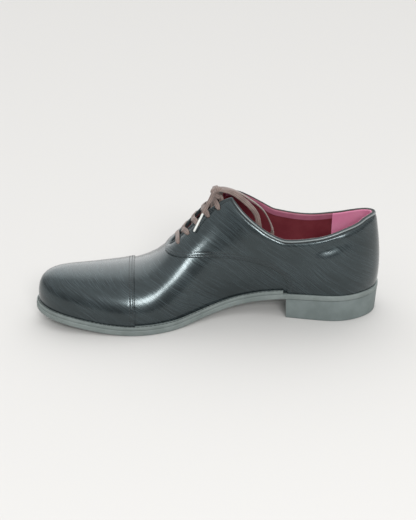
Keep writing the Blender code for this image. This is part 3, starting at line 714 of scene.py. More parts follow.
def weld_mesh(mesh: bpy.types.Mesh, distance: float) -> None:
    """Merges points that lie within a distance in metres, and turns the normals outwards.

    Where two rims meet, as along the ridge, their walls lie back to back inside the skin and are dropped.

    Args:
        mesh: The mesh, changed in place.
        distance: The distance.
    """
    bm = bmesh.new()
    bm.from_mesh(mesh)
    twins = bmesh.ops.find_doubles(bm, verts=bm.verts, dist=distance)["targetmap"]
    corners = [frozenset(twins.get(corner, corner) for corner in face.verts) for face in bm.faces]
    count = Counter(corners)
    inside = [face for face, key in zip(bm.faces, corners) if count[key] > 1 and len(key) > 2]
    bmesh.ops.delete(bm, geom=inside, context="FACES_ONLY")
    bmesh.ops.weld_verts(bm, targetmap=twins)
    bmesh.ops.delete(bm, geom=[edge for edge in bm.edges if not edge.link_faces], context="EDGES")
    bmesh.ops.delete(bm, geom=[corner for corner in bm.verts if not corner.link_faces], context="VERTS")
    bmesh.ops.dissolve_degenerate(bm, edges=bm.edges, dist=1e-7)
    bmesh.ops.recalc_face_normals(bm, faces=bm.faces)
    bm.to_mesh(mesh)
    bm.free()


def add_piece(
    name: str, points: Array, faces: Sequence[Array], last: Last, weld: float = 0.0, uv: Array | None = None,
    marks: dict[str, Array] | None = None,
) -> Piece:
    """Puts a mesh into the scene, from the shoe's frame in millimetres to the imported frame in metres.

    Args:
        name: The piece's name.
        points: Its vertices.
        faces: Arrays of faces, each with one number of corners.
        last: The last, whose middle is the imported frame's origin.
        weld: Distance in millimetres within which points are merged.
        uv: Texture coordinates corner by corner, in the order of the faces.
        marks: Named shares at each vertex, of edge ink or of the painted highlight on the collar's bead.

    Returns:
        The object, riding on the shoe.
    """
    mesh = bpy.data.meshes.new(name)
    rows = [row for block in faces for row in block.tolist()]
    mesh.from_pydata((points.reshape(-1, 3) - last.middle) * MM, [], rows)
    if uv is not None:
        mesh.uv_layers.new(name="UVMap").data.foreach_set("uv", uv.astype(np.float32).ravel())
    for mark, share in (marks or {}).items():
        layer = mesh.attributes.new(mark, "FLOAT", "POINT")
        layer.data.foreach_set("value", share.astype(np.float32).ravel())
    if weld:
        weld_mesh(mesh, weld * MM)
    mesh.shade_smooth()
    mesh.set_sharp_from_angle(angle=math.radians(SHARP_ANGLE))
    piece = bpy.data.objects.new(name, mesh)
    bpy.context.scene.collection.objects.link(piece)
    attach(piece, BODY)
    LOG.info("%s: %d faces", name, len(mesh.polygons))
    return piece


def add_shell(
    name: str, outer: Array, inner: Array, last: Last, marks: dict[str, Array] | None = None
) -> Piece:
    """Closed skin between two like grids of points, welded where points meet.

    Args:
        name: The piece's name.
        outer: Points of the outer face.
        inner: Points of the inner face.
        last: The last.
        marks: Named shares at each point of the grid, of edge ink or of the painted highlight on the collar's
            bead.

    Returns:
        The piece.
    """
    columns, rows = outer.shape[:2]
    index = np.arange(columns * rows).reshape(columns, rows)
    twin = index + columns * rows
    faces = [grid_quads(index), grid_quads(twin)[:, ::-1], wall_quads(border(index), border(twin))]
    points = np.concatenate([outer.reshape(-1, 3), inner.reshape(-1, 3)])
    both = {mark: np.tile(share.ravel(), 2) for mark, share in (marks or {}).items()}
    return add_piece(name, points, faces, last, weld=WELD, marks=both)


def add_plate(name: str, levels: Sequence[Array], last: Last) -> Piece:
    """Closed plate from its top grid down to its bottom grid, with the grids' borders between as its side.

    Args:
        name: The piece's name.
        levels: Like grids from the top down.
        last: The last.

    Returns:
        The piece.
    """
    columns, rows = levels[0].shape[:2]
    index = np.arange(columns * rows).reshape(columns, rows)
    loop = border(index)
    rings = [level.reshape(-1, 3)[loop] for level in levels[1:-1]]
    points = np.concatenate([levels[0].reshape(-1, 3), *rings, levels[-1].reshape(-1, 3)])
    starts = columns * rows + len(loop) * np.arange(len(rings))
    bottom = index + columns * rows + len(loop) * len(rings)
    bands = [loop, *[start + np.arange(len(loop)) for start in starts], border(bottom)]
    walls = [wall_quads(upper, lower) for upper, lower in zip(bands, bands[1:])]
    return add_piece(name, points, [grid_quads(index), *walls, grid_quads(bottom)[:, ::-1]], last, weld=WELD)


def sweep(
    path: Array, normals: Array, width: Array | float, depth: Array | float, closed: bool = False
) -> Swept:
    """Flat rounded profile carried along a path: a super ellipse, wide across the path and the normal.

    Args:
        path: Points of the middle line.
        normals: Direction that the flat side faces at each point.
        width: Width of the profile along the path.
        depth: Thickness of the profile along the path.
        closed: Whether the path runs round to its start.

    Returns:
        Points, faces and texture coordinates in millimetres along and round the profile.
    """
    sides, power = 16, 0.72
    count = len(path)
    if closed:
        tangents = unit(np.roll(path, -1, 0) - np.roll(path, 1, 0))
    else:
        tangents = unit(np.gradient(path, axis=0))
    normals = unit(normals - (normals * tangents).sum(-1, keepdims=True) * tangents)
    across = np.cross(tangents, normals)
    angle = np.linspace(0.0, 2 * math.pi, sides, endpoint=False) - 0.5 * math.pi
    wide = np.sign(np.cos(angle)) * np.abs(np.cos(angle)) ** power
    thick = np.sign(np.sin(angle)) * np.abs(np.sin(angle)) ** power
    half_width = 0.5 * np.broadcast_to(width, (count,))[:, None, None]
    half_depth = 0.5 * np.broadcast_to(depth, (count,))[:, None, None]
    points = (
        path[:, None] + across[:, None] * half_width * wide[None, :, None]
        + normals[:, None] * half_depth * thick[None, :, None]
    )
    runs = count if closed else count - 1
    i, j = np.meshgrid(np.arange(runs), np.arange(sides), indexing="ij")
    i, j = i.ravel(), j.ravel()
    ahead, beside = (i + 1) % count, (j + 1) % sides
    quads = np.stack([i * sides + j, ahead * sides + j, ahead * sides + beside, i * sides + beside], -1)
    steps = np.linalg.norm(np.roll(path, -1, 0) - path, axis=1)
    along = np.concatenate([[0.0], np.cumsum(steps)])
    round_profile = 2.0 * float(np.mean(np.broadcast_to(width, (count,)))) / sides
    corners = ((i, j), (i + 1, j), (i + 1, j + 1), (i, j + 1))
    uv = np.stack([np.stack([along[a], b * round_profile], -1) for a, b in corners], 1).reshape(-1, 2)
    faces = [quads]
    if not closed:
        ends = np.stack([np.arange(sides), (count - 1) * sides + np.arange(sides)[::-1]])
        faces.append(ends)
        uv = np.concatenate([uv, np.zeros((ends.size, 2))])
    return points.reshape(-1, 3), faces, uv


def join_sweeps(parts: Sequence[Swept]) -> Swept:
    """Several swept meshes as one list of points, faces and texture coordinates.

    Args:
        parts: The meshes.

    Returns:
        The joined mesh.
    """
    starts = np.cumsum([0, *[len(part[0]) for part in parts]])
    faces = [block + start for part, start in zip(parts, starts) for block in part[1]]
    return np.concatenate([part[0] for part in parts]), faces, np.concatenate([part[2] for part in parts])


def add_stitches(
    name: str, lines: Sequence[tuple[Array, Array]], last: Last, pitch: float, length: float, radius: float
) -> Piece:
    """Row of thread stitches along lines, each a small long bead of 24 quads and two ends.

    Args:
        name: The piece's name.
        lines: Points along each row with the surface's normals there.
        last: The last.
        pitch: Distance from stitch to stitch.
        length: Length of the thread that shows.
        radius: Half the thread's width.

    Returns:
        The joined stitches as one piece.
    """
    centres, ways, ups = [], [], []
    for line, normals in lines:
        both = resample(np.concatenate([line, normals], 1), pitch * 0.25)
        centres.append(both[2::4, :3])
        ways.append(np.gradient(both[:, :3], axis=0)[2::4])
        ups.append(both[2::4, 3:])
    centre, way, up = np.concatenate(centres), unit(np.concatenate(ways)), np.concatenate(ups)
    up = unit(up - (up * way).sum(-1, keepdims=True) * way)
    beside = np.cross(way, up)
    sides, flatness = 6, 0.8
    run = np.array([-0.5, -0.32, 0.0, 0.32, 0.5]) * length
    girth = np.array([0.35, 0.88, 1.0, 0.88, 0.35]) * radius
    angle = np.linspace(0.0, 2 * math.pi, sides, endpoint=False)
    x = np.repeat(run, sides)
    y = (girth[:, None] * np.cos(angle)).ravel()
    z = flatness * (girth[:, None] * np.sin(angle)).ravel()
    points = (
        centre[:, None] + way[:, None] * x[None, :, None]
        + beside[:, None] * y[None, :, None] + up[:, None] * z[None, :, None]
    )
    index = np.arange(len(run) * sides).reshape(len(run), sides)
    ring = np.concatenate([index, index[:, :1]], 1)
    quads = grid_quads(ring)[:, ::-1]
    caps = np.stack([index[0], index[-1, ::-1]])
    starts = (np.arange(len(centre)) * index.size)[:, None, None]
    faces = [(quads[None] + starts).reshape(-1, 4), (caps[None] + starts).reshape(-1, sides)]
    return add_piece(name, points, faces, last)


def linear(hex_colour: str) -> tuple[float, float, float, float]:
    """Linear colour of an sRGB hex value.

    Args:
        hex_colour: Six digits after a hash sign.

    Returns:
        Red, green, blue and an alpha of one.
    """
    values = np.array([int(hex_colour[k:k + 2], 16) for k in (1, 3, 5)]) / 255.0
    lit = np.where(values <= 0.04045, values / 12.92, ((values + 0.055) / 1.055) ** 2.4)
    return (*lit.tolist(), 1.0)


def add_node(tree: Tree, kind: str, settings: dict | None = None, inputs: dict | None = None) -> Node:
    """Adds a node, sets its properties, and fills its inputs with values or links them to sockets.

    Args:
        tree: The material's or world's node tree.
        kind: The node's type.
        settings: Property names and values.
        inputs: Socket names or numbers, each with a value or a socket to link.

    Returns:
        The node.
    """
    node = tree.nodes.new(kind)
    for name, value in (settings or {}).items():
        setattr(node, name, value)
    for name, value in (inputs or {}).items():
        if isinstance(value, Socket):
            tree.links.new(value, node.inputs[name])
        else:
            node.inputs[name].default_value = value
    return node


def add_noise(tree: Tree, place: Socket, size: float, detail: float, roughness: float = 0.5) -> Node:
    """Noise whose features have a size in metres."""
    inputs = {"Vector": place, "Scale": 1.0 / size, "Detail": detail, "Roughness": roughness}
    return add_node(tree, "ShaderNodeTexNoise", None, inputs)


def add_ramp(
    tree: Tree, value: Socket, span: Pair = (0.0, 1.0), to: Pair = (0.0, 1.0),
    smooth: bool = False,
) -> Socket:
    """Value carried from one span to another and held at its ends, smoothly or straight.

    Args:
        tree: The node tree.
        value: What is carried.
        span: Its start and end.
        to: What it becomes there.
        smooth: Whether it eases in and out.

    Returns:
        The new value.
    """
    settings = {"interpolation_type": "SMOOTHSTEP"} if smooth else None
    inputs = {"Value": value, "From Min": span[0], "From Max": span[1], "To Min": to[0], "To Max": to[1]}
    return add_node(tree, "ShaderNodeMapRange", settings, inputs).outputs["Result"]


def add_maths(tree: Tree, operation: str, *values: Socket | float) -> Socket:
    """Result of a sum over sockets and numbers."""
    inputs = dict(enumerate(values))
    return add_node(tree, "ShaderNodeMath", {"operation": operation}, inputs).outputs["Value"]


def add_blend(tree: Tree, share: Socket, first: Socket | Sequence[float], second: Sequence[float]) -> Socket:
    """Mix of two linear colours by a share."""
    inputs = {0: share, 6: first, 7: second}
    return add_node(tree, "ShaderNodeMix", {"data_type": "RGBA"}, inputs).outputs[2]


def add_relief(
    tree: Tree, shader: Node, height: Socket, strength: float, distance: float,
    normals: Sequence[str] = ("Normal",),
) -> None:
    """Bump on a shader's normals, from a height.

    Args:
        tree: The node tree.
        shader: The shader.
        height: Height as a share.
        strength: Strength of the bump.
        distance: Full height in metres.
        normals: Names of the shader's normals.
    """
    bump = add_node(
        tree, "ShaderNodeBump", None, {"Height": height, "Strength": strength, "Distance": distance}
    )
    feed(tree, shader, {name: bump.outputs["Normal"] for name in normals})


def feed(tree: Tree, shader: Node, sockets: dict[str, Socket]) -> None:
    """Links sockets to a shader's named inputs."""
    for name, socket in sockets.items():
        tree.links.new(socket, shader.inputs[name])


def piece_place(tree: Tree) -> Socket:
    """Place on the piece, in metres."""
    return add_node(tree, "ShaderNodeTexCoord").outputs["Object"]


def start_material(name: str, sockets: dict) -> tuple[Material, Tree, Node]:
    """New material with its shader's own sockets set.

    Args:
        name: The material's name.
        sockets: Names and values.

    Returns:
        The material, its tree and its shader.
    """
    made = bpy.data.materials.new(name)
    made.use_nodes = True
    shader = made.node_tree.nodes["Principled BSDF"]
    for socket, value in sockets.items():
        shader.inputs[socket].default_value = value
    return made, made.node_tree, shader


@dataclass(frozen=True)
class PolishedCalf:
    """Aniline calf, burnished and waxed by brush, near black with a cold cast.

    The brush leaves fine slanting strokes, dark and light, that also break up the gloss, and a few thin
    strokes cross them. Real strokes are about 0.5 mm wide and are drawn at about twice that.
    """

    name: str = "polished_calf"
    ground: str = "#0e1214"
    stroke: str = "#2b3336"
    ink: str = "#0c0d0e"
    # Paler grey of the collar's bead, a painted highlight along it
    bead: str = "#8f9696"
    shine: str = "#e6fbff"
    coat: float = 0.3
    roughness: float = 0.2
    stroke_roughness: float = 0.11
    ink_roughness: float = 0.8
    relief: float = 0.06
    relief_depth: float = 0.0004
    drift_size: float = 0.045
    drift: float = 0.009
    patch_size: float = 0.028
    patch_share: float = 0.55
    stroke_size: Triple = (0.030, 0.010, 0.0008)
    stroke_turn: float = -36.0
    scratch_size: Triple = (0.060, 0.020, 0.0008)
    scratch_turn: float = 48.0
    scratch_share: float = 0.55

    def hatch(self, tree: Tree, place: Socket, turn: float, size: Triple) -> Socket:
        """Noise drawn out along a slanting direction, in the plane of the shoe's length and height.

        Args:
            tree: The node tree.
            place: Place on the piece.
            turn: Slant in degrees.
            size: Feature size along each turned axis.

        Returns:
            The noise as a share.
        """
        turned = add_node(
            tree, "ShaderNodeMapping", {"vector_type": "TEXTURE"},
            {"Vector": place, "Rotation": (0.0, math.radians(turn), 0.0), "Scale": size},
        )
        return add_noise(tree, turned.outputs["Vector"], 1.0, 2.5, 0.6).outputs["Fac"]

    def build(self) -> Material:
        """Makes the material.

        Returns:
            The material.
        """
        made, tree, shader = start_material(
            self.name,
            {"IOR": 1.6, "Specular Tint": linear(self.shine), "Coat Roughness": 0.12, "Coat IOR": 1.45},
        )
        place = piece_place(tree)
        drift = add_noise(tree, place, self.drift_size, 1.0).outputs["Color"]
        wander = add_node(
            tree, "ShaderNodeVectorMath", {"operation": "MULTIPLY_ADD"},
            {0: drift, 1: (self.drift, self.drift, self.drift), 2: place},
        ).outputs["Vector"]
        strokes = self.hatch(tree, wander, self.stroke_turn, self.stroke_size)
        scratches = self.hatch(tree, wander, self.scratch_turn, self.scratch_size)
        thin = add_ramp(tree, scratches, (0.62, 0.78), (0.0, self.scratch_share), smooth=True)
        patches = add_noise(tree, place, self.patch_size, 3.0).outputs["Fac"]
        cloudy = add_maths(tree, "MULTIPLY_ADD", patches, self.patch_share, strokes)
        level = add_ramp(tree, cloudy, (0.56, 1.06), smooth=True)
        mask = add_maths(tree, "MAXIMUM", level, thin)
        # Painted highlight: the collar's bead is blended to a paler grey
        highlight_share = add_node(tree, "ShaderNodeAttribute", {"attribute_name": BEAD_HIGHLIGHT}).outputs["Fac"]
        edge = add_node(tree, "ShaderNodeAttribute", {"attribute_name": INK}).outputs["Fac"]
        brushed = add_blend(tree, mask, linear(self.ground), linear(self.stroke))
        highlit = add_blend(tree, highlight_share, brushed, linear(self.bead))
        inked = add_blend(tree, edge, highlit, linear(self.ink))
        gloss = add_ramp(tree, edge, to=(self.coat, 0.0))
        dull = add_ramp(tree, mask, to=(self.roughness, self.roughness + self.stroke_roughness))
        worn = add_node(
            tree, "ShaderNodeMix", {"data_type": "FLOAT"}, {0: edge, 2: dull, 3: self.ink_roughness}
        ).outputs[0]
        feed(tree, shader, {"Base Color": inked, "Coat Weight": gloss, "Roughness": worn})
        add_relief(tree, shader, mask, self.relief, self.relief_depth, ("Normal", "Coat Normal"))
        return made


@dataclass(frozen=True)
class MattLeather:
    """Leather or rubber with a matt cut face: cloudy dye and a fine fibre that breaks up the light."""

    name: str
    ground: str
    cloud: str
    roughness: float
    roughness_spread: float = 0.06
    cloud_size: float = 0.018
    fibre_size: float = 0.0007
    relief: float = 0.12
    relief_depth: float = 0.0004

    def build(self) -> Material:
        """Makes the material.

        Returns:
            The material.
        """
        made, tree, shader = start_material(self.name, {"IOR": 1.48})
        place = piece_place(tree)
        clouds = add_noise(tree, place, self.cloud_size, 5.0, 0.62).outputs["Fac"]
        fibre = add_noise(tree, place, self.fibre_size, 2.0, 0.6).outputs["Fac"]
        share = add_ramp(tree, clouds, (0.34, 0.68), smooth=True)
        colour = add_blend(tree, share, linear(self.ground), linear(self.cloud))
        spread = (self.roughness - self.roughness_spread, self.roughness + self.roughness_spread)
        feed(tree, shader, {"Base Color": colour, "Roughness": add_ramp(tree, fibre, to=spread)})
        add_relief(tree, shader, fibre, self.relief, self.relief_depth)
        return made


@dataclass(frozen=True)
class WaxedCotton:
    """Flat braided cotton, lightly waxed: two sets of slanted yarns, drawn at twice their real spacing."""

    name: str = "waxed_cotton"
    yarn: str = "#95827a"
    gap: str = "#4a3e39"
    spacing: float = 1.6
    fade_size: float = 0.006
    fade_end: float = 0.55
    relief: float = 0.5
    relief_depth: float = 0.0003

    def build(self) -> Material:
        """Makes the material, on the piece's texture coordinates in millimetres.

        Returns:
            The material.
        """
        made, tree, shader = start_material(self.name, {"IOR": 1.5, "Roughness": 0.62, "Sheen Weight": 0.25})
        uv = add_node(tree, "ShaderNodeUVMap", {"uv_map": "UVMap"}).outputs["UV"]
        split = add_node(tree, "ShaderNodeSeparateXYZ", None, {"Vector": uv}).outputs
        turn = 2.0 * math.pi / self.spacing
        waves = []
        for operation in ("ADD", "SUBTRACT"):
            slant = add_maths(tree, operation, split["X"], split["Y"])
            waves.append(add_maths(tree, "SINE", add_maths(tree, "MULTIPLY", slant, turn)))
        weave = add_ramp(tree, add_maths(tree, "MULTIPLY", *waves), (-1.0, 1.0))
        fade = add_noise(tree, piece_place(tree), self.fade_size, 3.0).outputs["Fac"]
        level = add_ramp(tree, add_maths(tree, "MULTIPLY", weave, fade), (0.0, self.fade_end))
        feed(tree, shader, {"Base Color": add_blend(tree, level, linear(self.gap), linear(self.yarn))})
        add_relief(tree, shader, weave, self.relief, self.relief_depth)
        return made


@dataclass(frozen=True)
class PlainFinish:
    """Thread, tip film or nail: one small thing of nearly one colour, with a slight mottle."""

    name: str
    ground: str
    cloud: str
    roughness: float
    size: float = 0.002

    def build(self) -> Material:
        """Makes the material.

        Returns:
            The material.
        """
        made, tree, shader = start_material(self.name, {"IOR": 1.5, "Roughness": self.roughness})
        mottle = add_noise(tree, piece_place(tree), self.size, 2.0).outputs["Fac"]
        feed(tree, shader, {"Base Color": add_blend(tree, mottle, linear(self.ground), linear(self.cloud))})
        return made


class Finishes:
    """All finishes of the shoe."""

    def __init__(self) -> None:
        """Makes every material once."""
        self.calf = PolishedCalf().build()
        self.burgundy = MattLeather("lining_calf_burgundy", "#68252d", "#743037", 0.5, relief=0.06).build()
        self.rose = MattLeather("lining_calf_rose", "#9c5a70", "#a8677c", 0.45, relief=0.06).build()
        self.pink = MattLeather("lining_calf_pink", "#e28eb1", "#e89cbb", 0.45, relief=0.06).build()
        self.sole = MattLeather("sole_leather_grey", "#6c7573", "#7c8583", 0.5).build()
        self.heel = MattLeather("heel_rubber_grey", "#66706f", "#737d7c", 0.55).build()
        self.cotton = WaxedCotton().build()
        self.thread = PlainFinish("waxed_thread_black", "#17191a", "#2b2f31", 0.5).build()
        self.sole_thread = PlainFinish("waxed_thread_grey", "#2c3233", "#3c4343", 0.6).build()
        self.tip = PlainFinish("tip_film_white", "#d5d8d4", "#e4e6e2", 0.28).build()
        self.nail = PlainFinish("heel_nail_steel", "#a8b0b0", "#b9c0c0", 0.4).build()

    @staticmethod
    def dress(
        piece: Piece, finish: Material, slot: str | None = None,
        nodes: Sequence[str] = (),
    ) -> Piece:
        """Gives a piece its finish, and hides the CAD nodes that it stands for.

        Args:
            piece: The piece.
            finish: Its material.
            slot: Not used.
            nodes: The CAD nodes.

        Returns:
            The piece.
        """
        piece.data.materials.clear()
        piece.data.materials.append(finish)
        if nodes:
            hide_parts(*nodes)
        return piece


# Rows of a panel next to its edge, by their distance from it
EDGE_ROWS = np.array([0.0, 0.12, 0.3, 0.55, 0.85, 1.2, 1.6, 2.0, 2.4, 2.8, 3.2, 3.7, 4.4, 5.2, 5.8, 6.4, 7.4])


@dataclass
class Upper:
    """Vamp, quarters, toe cap, tongue and lining, all laid on the last."""

    last: Last
    finishes: Finishes
    skin: float = 1.05
    panel_gap: float = 0.05
    panel_rows: int = 26
    lining_gap: float = 0.03
    lining_depth: float = 2.0
    lining_edge: Pair = (0.9, 0.8)
    patch_overlap: float = 0.25
    patch_height: float = 0.45
    patch_foot_edge: Pair = (0.5, 0.3)
    patch_top_edge: Pair = (1.2, 0.9)
    patch_deepest_fall: float = 0.95
    grip_clearance: float = 0.6
    collar_band_height: float = 5.6
    overlay_level: float = LAYER_GAP + OVERLAY_LEATHER
    cap_clearance: float = 0.1
    edge_reach: float = 1.3
    edge_drop: float = 0.95
    bead_place: float = 1.1
    bead_width: float = 0.8
    bead_height: float = 0.45
    bead_drop: float = 1.25
    back_edge: Pair = (0.9, 0.5)
    least_level: float = 0.15
    ink_reach: float = 0.4
    # Reach and fade of the painted highlight on the collar's bead
    highlight_reach: float = 0.5
    highlight_fade: float = 0.25
    groove_place: float = 2.7
    groove_width: float = 0.55
    groove_depth: float = 0.5
    padding_station: float = 2.5
    padding_start: float = 3.1
    padding_end: float = 5.9
    padding_height: float = 0.66
    padding_base: float = 0.4
    padding_reach: float = 1.5
    padding_fall: float = 6.0
    double_row: Pair = (1.9, 4.3)
    row_groove_width: float = 0.5
    row_groove_depth: float = 0.1
    row_sink: float = 0.12
    facing_row: float = 1.9
    stitch_pitch: float = 2.3
    stitch_length: float = 1.7
    stitch_radius: float = 0.34
    tongue_run: Pair = (6.2, 8.25)
    tongue_half_widths: Pair = (23.0, 17.0)
    tongue_gap: float = 1.3
    eyelet_count: int = 5
    eyelet_side: float = 10.2
    eyelet_first: float = 6.26
    eyelet_last: float = 7.7
    eyelet_radius: float = 1.75

    def stations(self) -> Array:
        """Stations of one side, crowded where the form turns and next to the seams.

        Returns:
            Rising stations.
        """
        lateral_foot, medial_foot = SEAM_FOOT_LATERAL - 0.05, SEAM_FOOT_MEDIAL - 0.04
        throat, cap = THROAT - 0.12, TOE_CAP_SEAM - 0.12
        return spaced(
            (0.0, 2.0, 34), (2.0, lateral_foot, 24), (lateral_foot, 3.80, 14), (3.80, medial_foot, 4),
            (medial_foot, 4.12, 14), (4.12, COLLAR_CORNER, 30), (COLLAR_CORNER, FACING_TOP, 10),
            (FACING_TOP, throat, 40), (throat, THROAT, 8), (THROAT, QUARTER_END, 10), (QUARTER_END, cap, 22),
            (cap, TOE_CAP_SEAM, 6), (TOE_CAP_SEAM, TOE_CAP_SEAM + 0.2, 12), (TOE_CAP_SEAM + 0.2, 12.0, 36),
            (12.0, float(self.last.stations), 26),
        )

    def ring(self, start: float, end: float) -> Array:
        """Ring positions over both sides between two stations, up the medial and back down the lateral.

        Args:
            start: First station.
            end: Last station.

        Returns:
            Ring positions.
        """
        part = self.stations()
        part = part[(part >= start - 1e-9) & (part <= end + 1e-9)]
        return np.concatenate([part, self.last.ring - part[-2::-1]])

    def creases(self, points: Array) -> Array:
        """Relief of the main creases: bell curves off listed lines that fade out at their ends.

        Args:
            points: Points of the upper's outer face.

        Returns:
            Heights over it.
        """
        total = np.zeros(points.shape[:-1])
        share = np.linspace(0.0, 1.0, 60)
        end_share, fade_power = 0.08, 0.8
        fade = np.sin(math.pi * (end_share + (1.0 - 2.0 * end_share) * share)) ** fade_power
        flat = points.reshape(-1, 3).astype(np.float32)
        for side, s0, h0, s1, h1, depth, half_width in CREASES.rows:
            station, height = s0 + (s1 - s0) * share, h0 + (h1 - h0) * share
            t = self.last.at(station, Side(int(side)))
            line = self.last.point(t, height * self.last.top_v(t))
            gaps = np.linalg.norm(flat[:, None] - line[None].astype(np.float32), axis=-1)
            nearest = gaps.argmin(1)
            total -= swell(gaps.min(1), 0.0, half_width, depth * fade[nearest]).reshape(total.shape)
        return total

    def top_edge(self) -> Array:
        """Dense line along the collar and the facings.

        Returns:
            Points along it.
        """
        part = spaced(
            (0.0, COLLAR_CORNER, 500), (COLLAR_CORNER, FACING_TOP, 120), (FACING_TOP, THROAT - 1e-3, 500)
        )
        t = np.concatenate([part, self.last.ring - part[::-1]])
        return resample(self.last.point(t, self.last.top_v(t)), 0.3)

    def edge_ink(self, top: Array) -> Array:
        """Share of ink on the cut edge of the collar and the facings, by the distance from it."""
        return swell(top, 0.0, self.ink_reach, 1.0)

    def painted_bead_highlight(self, top: Array, station: Array) -> Array:
        """Share of the painted highlight, a paler grey on the collar's bead, by distance from the top line
        and station.
        """
        on_collar = np.clip((COLLAR_CORNER - station) / self.highlight_fade, 0.0, 1.0)
        return swell(top, self.bead_place, self.highlight_reach, 1.0) * on_collar

    def row_grooves(self, seam: Array) -> Array:
        """Relief of the grooves that the double row of stitches draws in, by distance from the seam."""
        width, height = self.row_groove_width, -self.row_groove_depth
        return sum(swell(seam, place, width, height) for place in self.double_row)

    def build_vamp(self) -> Piece:
        """Skin of the whole last, which shows as the vamp between toe cap and quarters.

        Returns:
            The piece.
        """
        t = self.ring(0.0, self.last.stations)
        tt, v, points = self.last.sheet(t, np.zeros(len(t)), self.last.top_v(t), EDGE_ROWS, self.panel_rows)
        outer = self.last.form(tt, v, self.creases(points))
        inner = self.last.form(tt, v, -self.skin)
        for face in (outer, inner):
            face[:, 0, 2] -= 2.0 * SEAM_GAP
        ink = self.edge_ink(distance_to(points, self.top_edge()))
        made = add_shell("upper_vamp", outer, inner, self.last, {INK: ink})
        return self.finishes.dress(made, self.finishes.calf, "upper_leather", ("upper",))

    def build_lining(self) -> Piece:
        """Burgundy lining inside the whole wall.

        Returns:
            The piece.
        """
        t = self.ring(0.0, self.last.stations)
        tt, v, points = self.last.sheet(t, np.zeros(len(t)), self.last.top_v(t), EDGE_ROWS[:9], 16)
        edge = distance_to(points, self.top_edge())
        outer = self.last.form(tt, v, -self.skin - self.lining_gap)
        inner = self.last.form(tt, v, -self.lining_depth + rounded_edge(edge, *self.lining_edge))
        made = add_shell("upper_lining", outer, inner, self.last)
        return self.finishes.dress(made, self.finishes.burgundy, "lining_leather")

    def build_lining_patch(self, name: str, t: Array, low: Array, finish: Material) -> None:
        """Lining laid over the burgundy one, from a lower edge up to the top line.

        Args:
            name: The piece's name.
            t: Ring positions.
            low: Lower edge.
            finish: Its material.
        """
        short = 0.002
        tt, v, points = self.last.sheet(t, low, self.last.top_v(t) - short, EDGE_ROWS[:6], 14)
        low_line = resample(self.last.point(t, low), 0.3)
        fall = rounded_edge(distance_to(points, low_line), *self.patch_foot_edge)
        fall += rounded_edge(distance_to(points, self.top_edge()), *self.patch_top_edge)
        fall = np.minimum(fall, self.patch_deepest_fall)
        outer = self.last.form(tt, v, -self.lining_depth + self.patch_overlap)
        inner = self.last.form(tt, v, -self.lining_depth - self.patch_height + fall)
        self.finishes.dress(add_shell(name, outer, inner, self.last), finish, "lining_leather")

    def build_pink_linings(self) -> None:
        """Heel grip, up to its upright front edges, and the band that runs on along the top line."""
        grip = np.linspace(-HEEL_GRIP_END, HEEL_GRIP_END, 81)
        low = self.last.above_sole_v(grip, INSOLE_THICKNESS + self.grip_clearance)
        self.build_lining_patch("heel_grip", grip, low, self.finishes.pink)
        for side in Side:
            t = self.last.at(np.linspace(HEEL_GRIP_END + 0.01, COLLAR_CORNER + 0.2, 90), side)
            top = self.last.top_v(t)
            step = 1e-3
            speed = np.linalg.norm(self.last.point(t, top) - self.last.point(t, top - step), axis=-1) / step
            name = f"collar_band_{side.name.lower()}"
            self.build_lining_patch(name, t, top - self.collar_band_height / speed, self.finishes.rose)

    def build_toe_cap(self) -> None:
        """Toe cap: a second layer from its seam to the toe, rounded at the seam and tucked at the welt."""
        t = self.ring(TOE_CAP_SEAM, self.last.stations)
        low = self.last.above_sole_v(t, WELT_THICKNESS + self.cap_clearance)
        tt, v, points = self.last.sheet(t, low, np.ones(len(t)), EDGE_ROWS[:8], self.panel_rows)
        seam = distance_to(points, self.seam_line(self.cap_seam()))
        level = self.overlay_level - rounded_edge(seam, self.edge_reach, self.edge_drop)
        outer = self.last.form(tt, v, level + self.row_grooves(seam))
        inner = self.last.form(tt, v, self.panel_gap)
        made = add_shell("toe_cap_panel", outer, inner, self.last)
        self.finishes.dress(made, self.finishes.calf, "upper_leather", ("toe_cap",))

    def cap_seam(self) -> tuple[Array, Array]:
        """Ring positions and v of the toe cap's edge, over the ridge from welt to welt.

        Returns:
            Ring positions and v.
        """
        sides = []
        count, clearance = 160, 0.4
        for side in Side:
            t = np.full(count, float(self.last.at(TOE_CAP_SEAM, side)))
            low = float(self.last.above_sole_v(t[:1], WELT_THICKNESS + clearance)[0])
            sides.append((t, np.linspace(low, 1.0, count)))
        medial, lateral = sides
        return np.concatenate([medial[0], lateral[0][::-1]]), np.concatenate([medial[1], lateral[1][::-1]])

    @staticmethod
    def seam_foot(side: Side) -> float:
        """Station where a quarter's seam leaves the sole."""
        return SEAM_FOOT_MEDIAL if side is Side.MEDIAL else SEAM_FOOT_LATERAL

    def quarter_seam(self, side: Side) -> tuple[Array, Array]:
        """Ring positions and v of a quarter's seam from the sole to the throat.

        Args:
            side: The quarter's side.

        Returns:
            Ring positions and v.
        """
        foot = self.seam_foot(side)
        station = foot + (QUARTER_END - foot) * np.linspace(0.0, 1.0, 400) ** 3
        t = self.last.at(station, side)
        return t, self.last.quarter_foot_v(t)

    def seam_line(self, seam: tuple[Array, Array]) -> Array:
        """Dense points along a seam."""
        return resample(self.last.point(*seam), 0.25)

    def padded_level(self, points: Array, station: Array, top: Array) -> Array:
        """Height of a quarter's face with its creases and the padding under its top line, full at the ankle.

        Args:
            points: Points of the upper's outer face.
            station: Their stations.
            top: Their distances from the top line.

        Returns:
            Heights over the upper's outer face.
        """
        ankle = swell(station, self.padding_station, self.padding_reach, 1.0 - self.padding_base)
        fullness = self.padding_height * (self.padding_base + ankle)
        slope = np.clip((top - self.padding_start) / (self.padding_end - self.padding_start), 0.0, 1.0)
        fall = swell(np.maximum(top, self.padding_end), self.padding_end, self.padding_fall, 1.0)
        return self.overlay_level + self.creases(points) + fullness * slope * fall

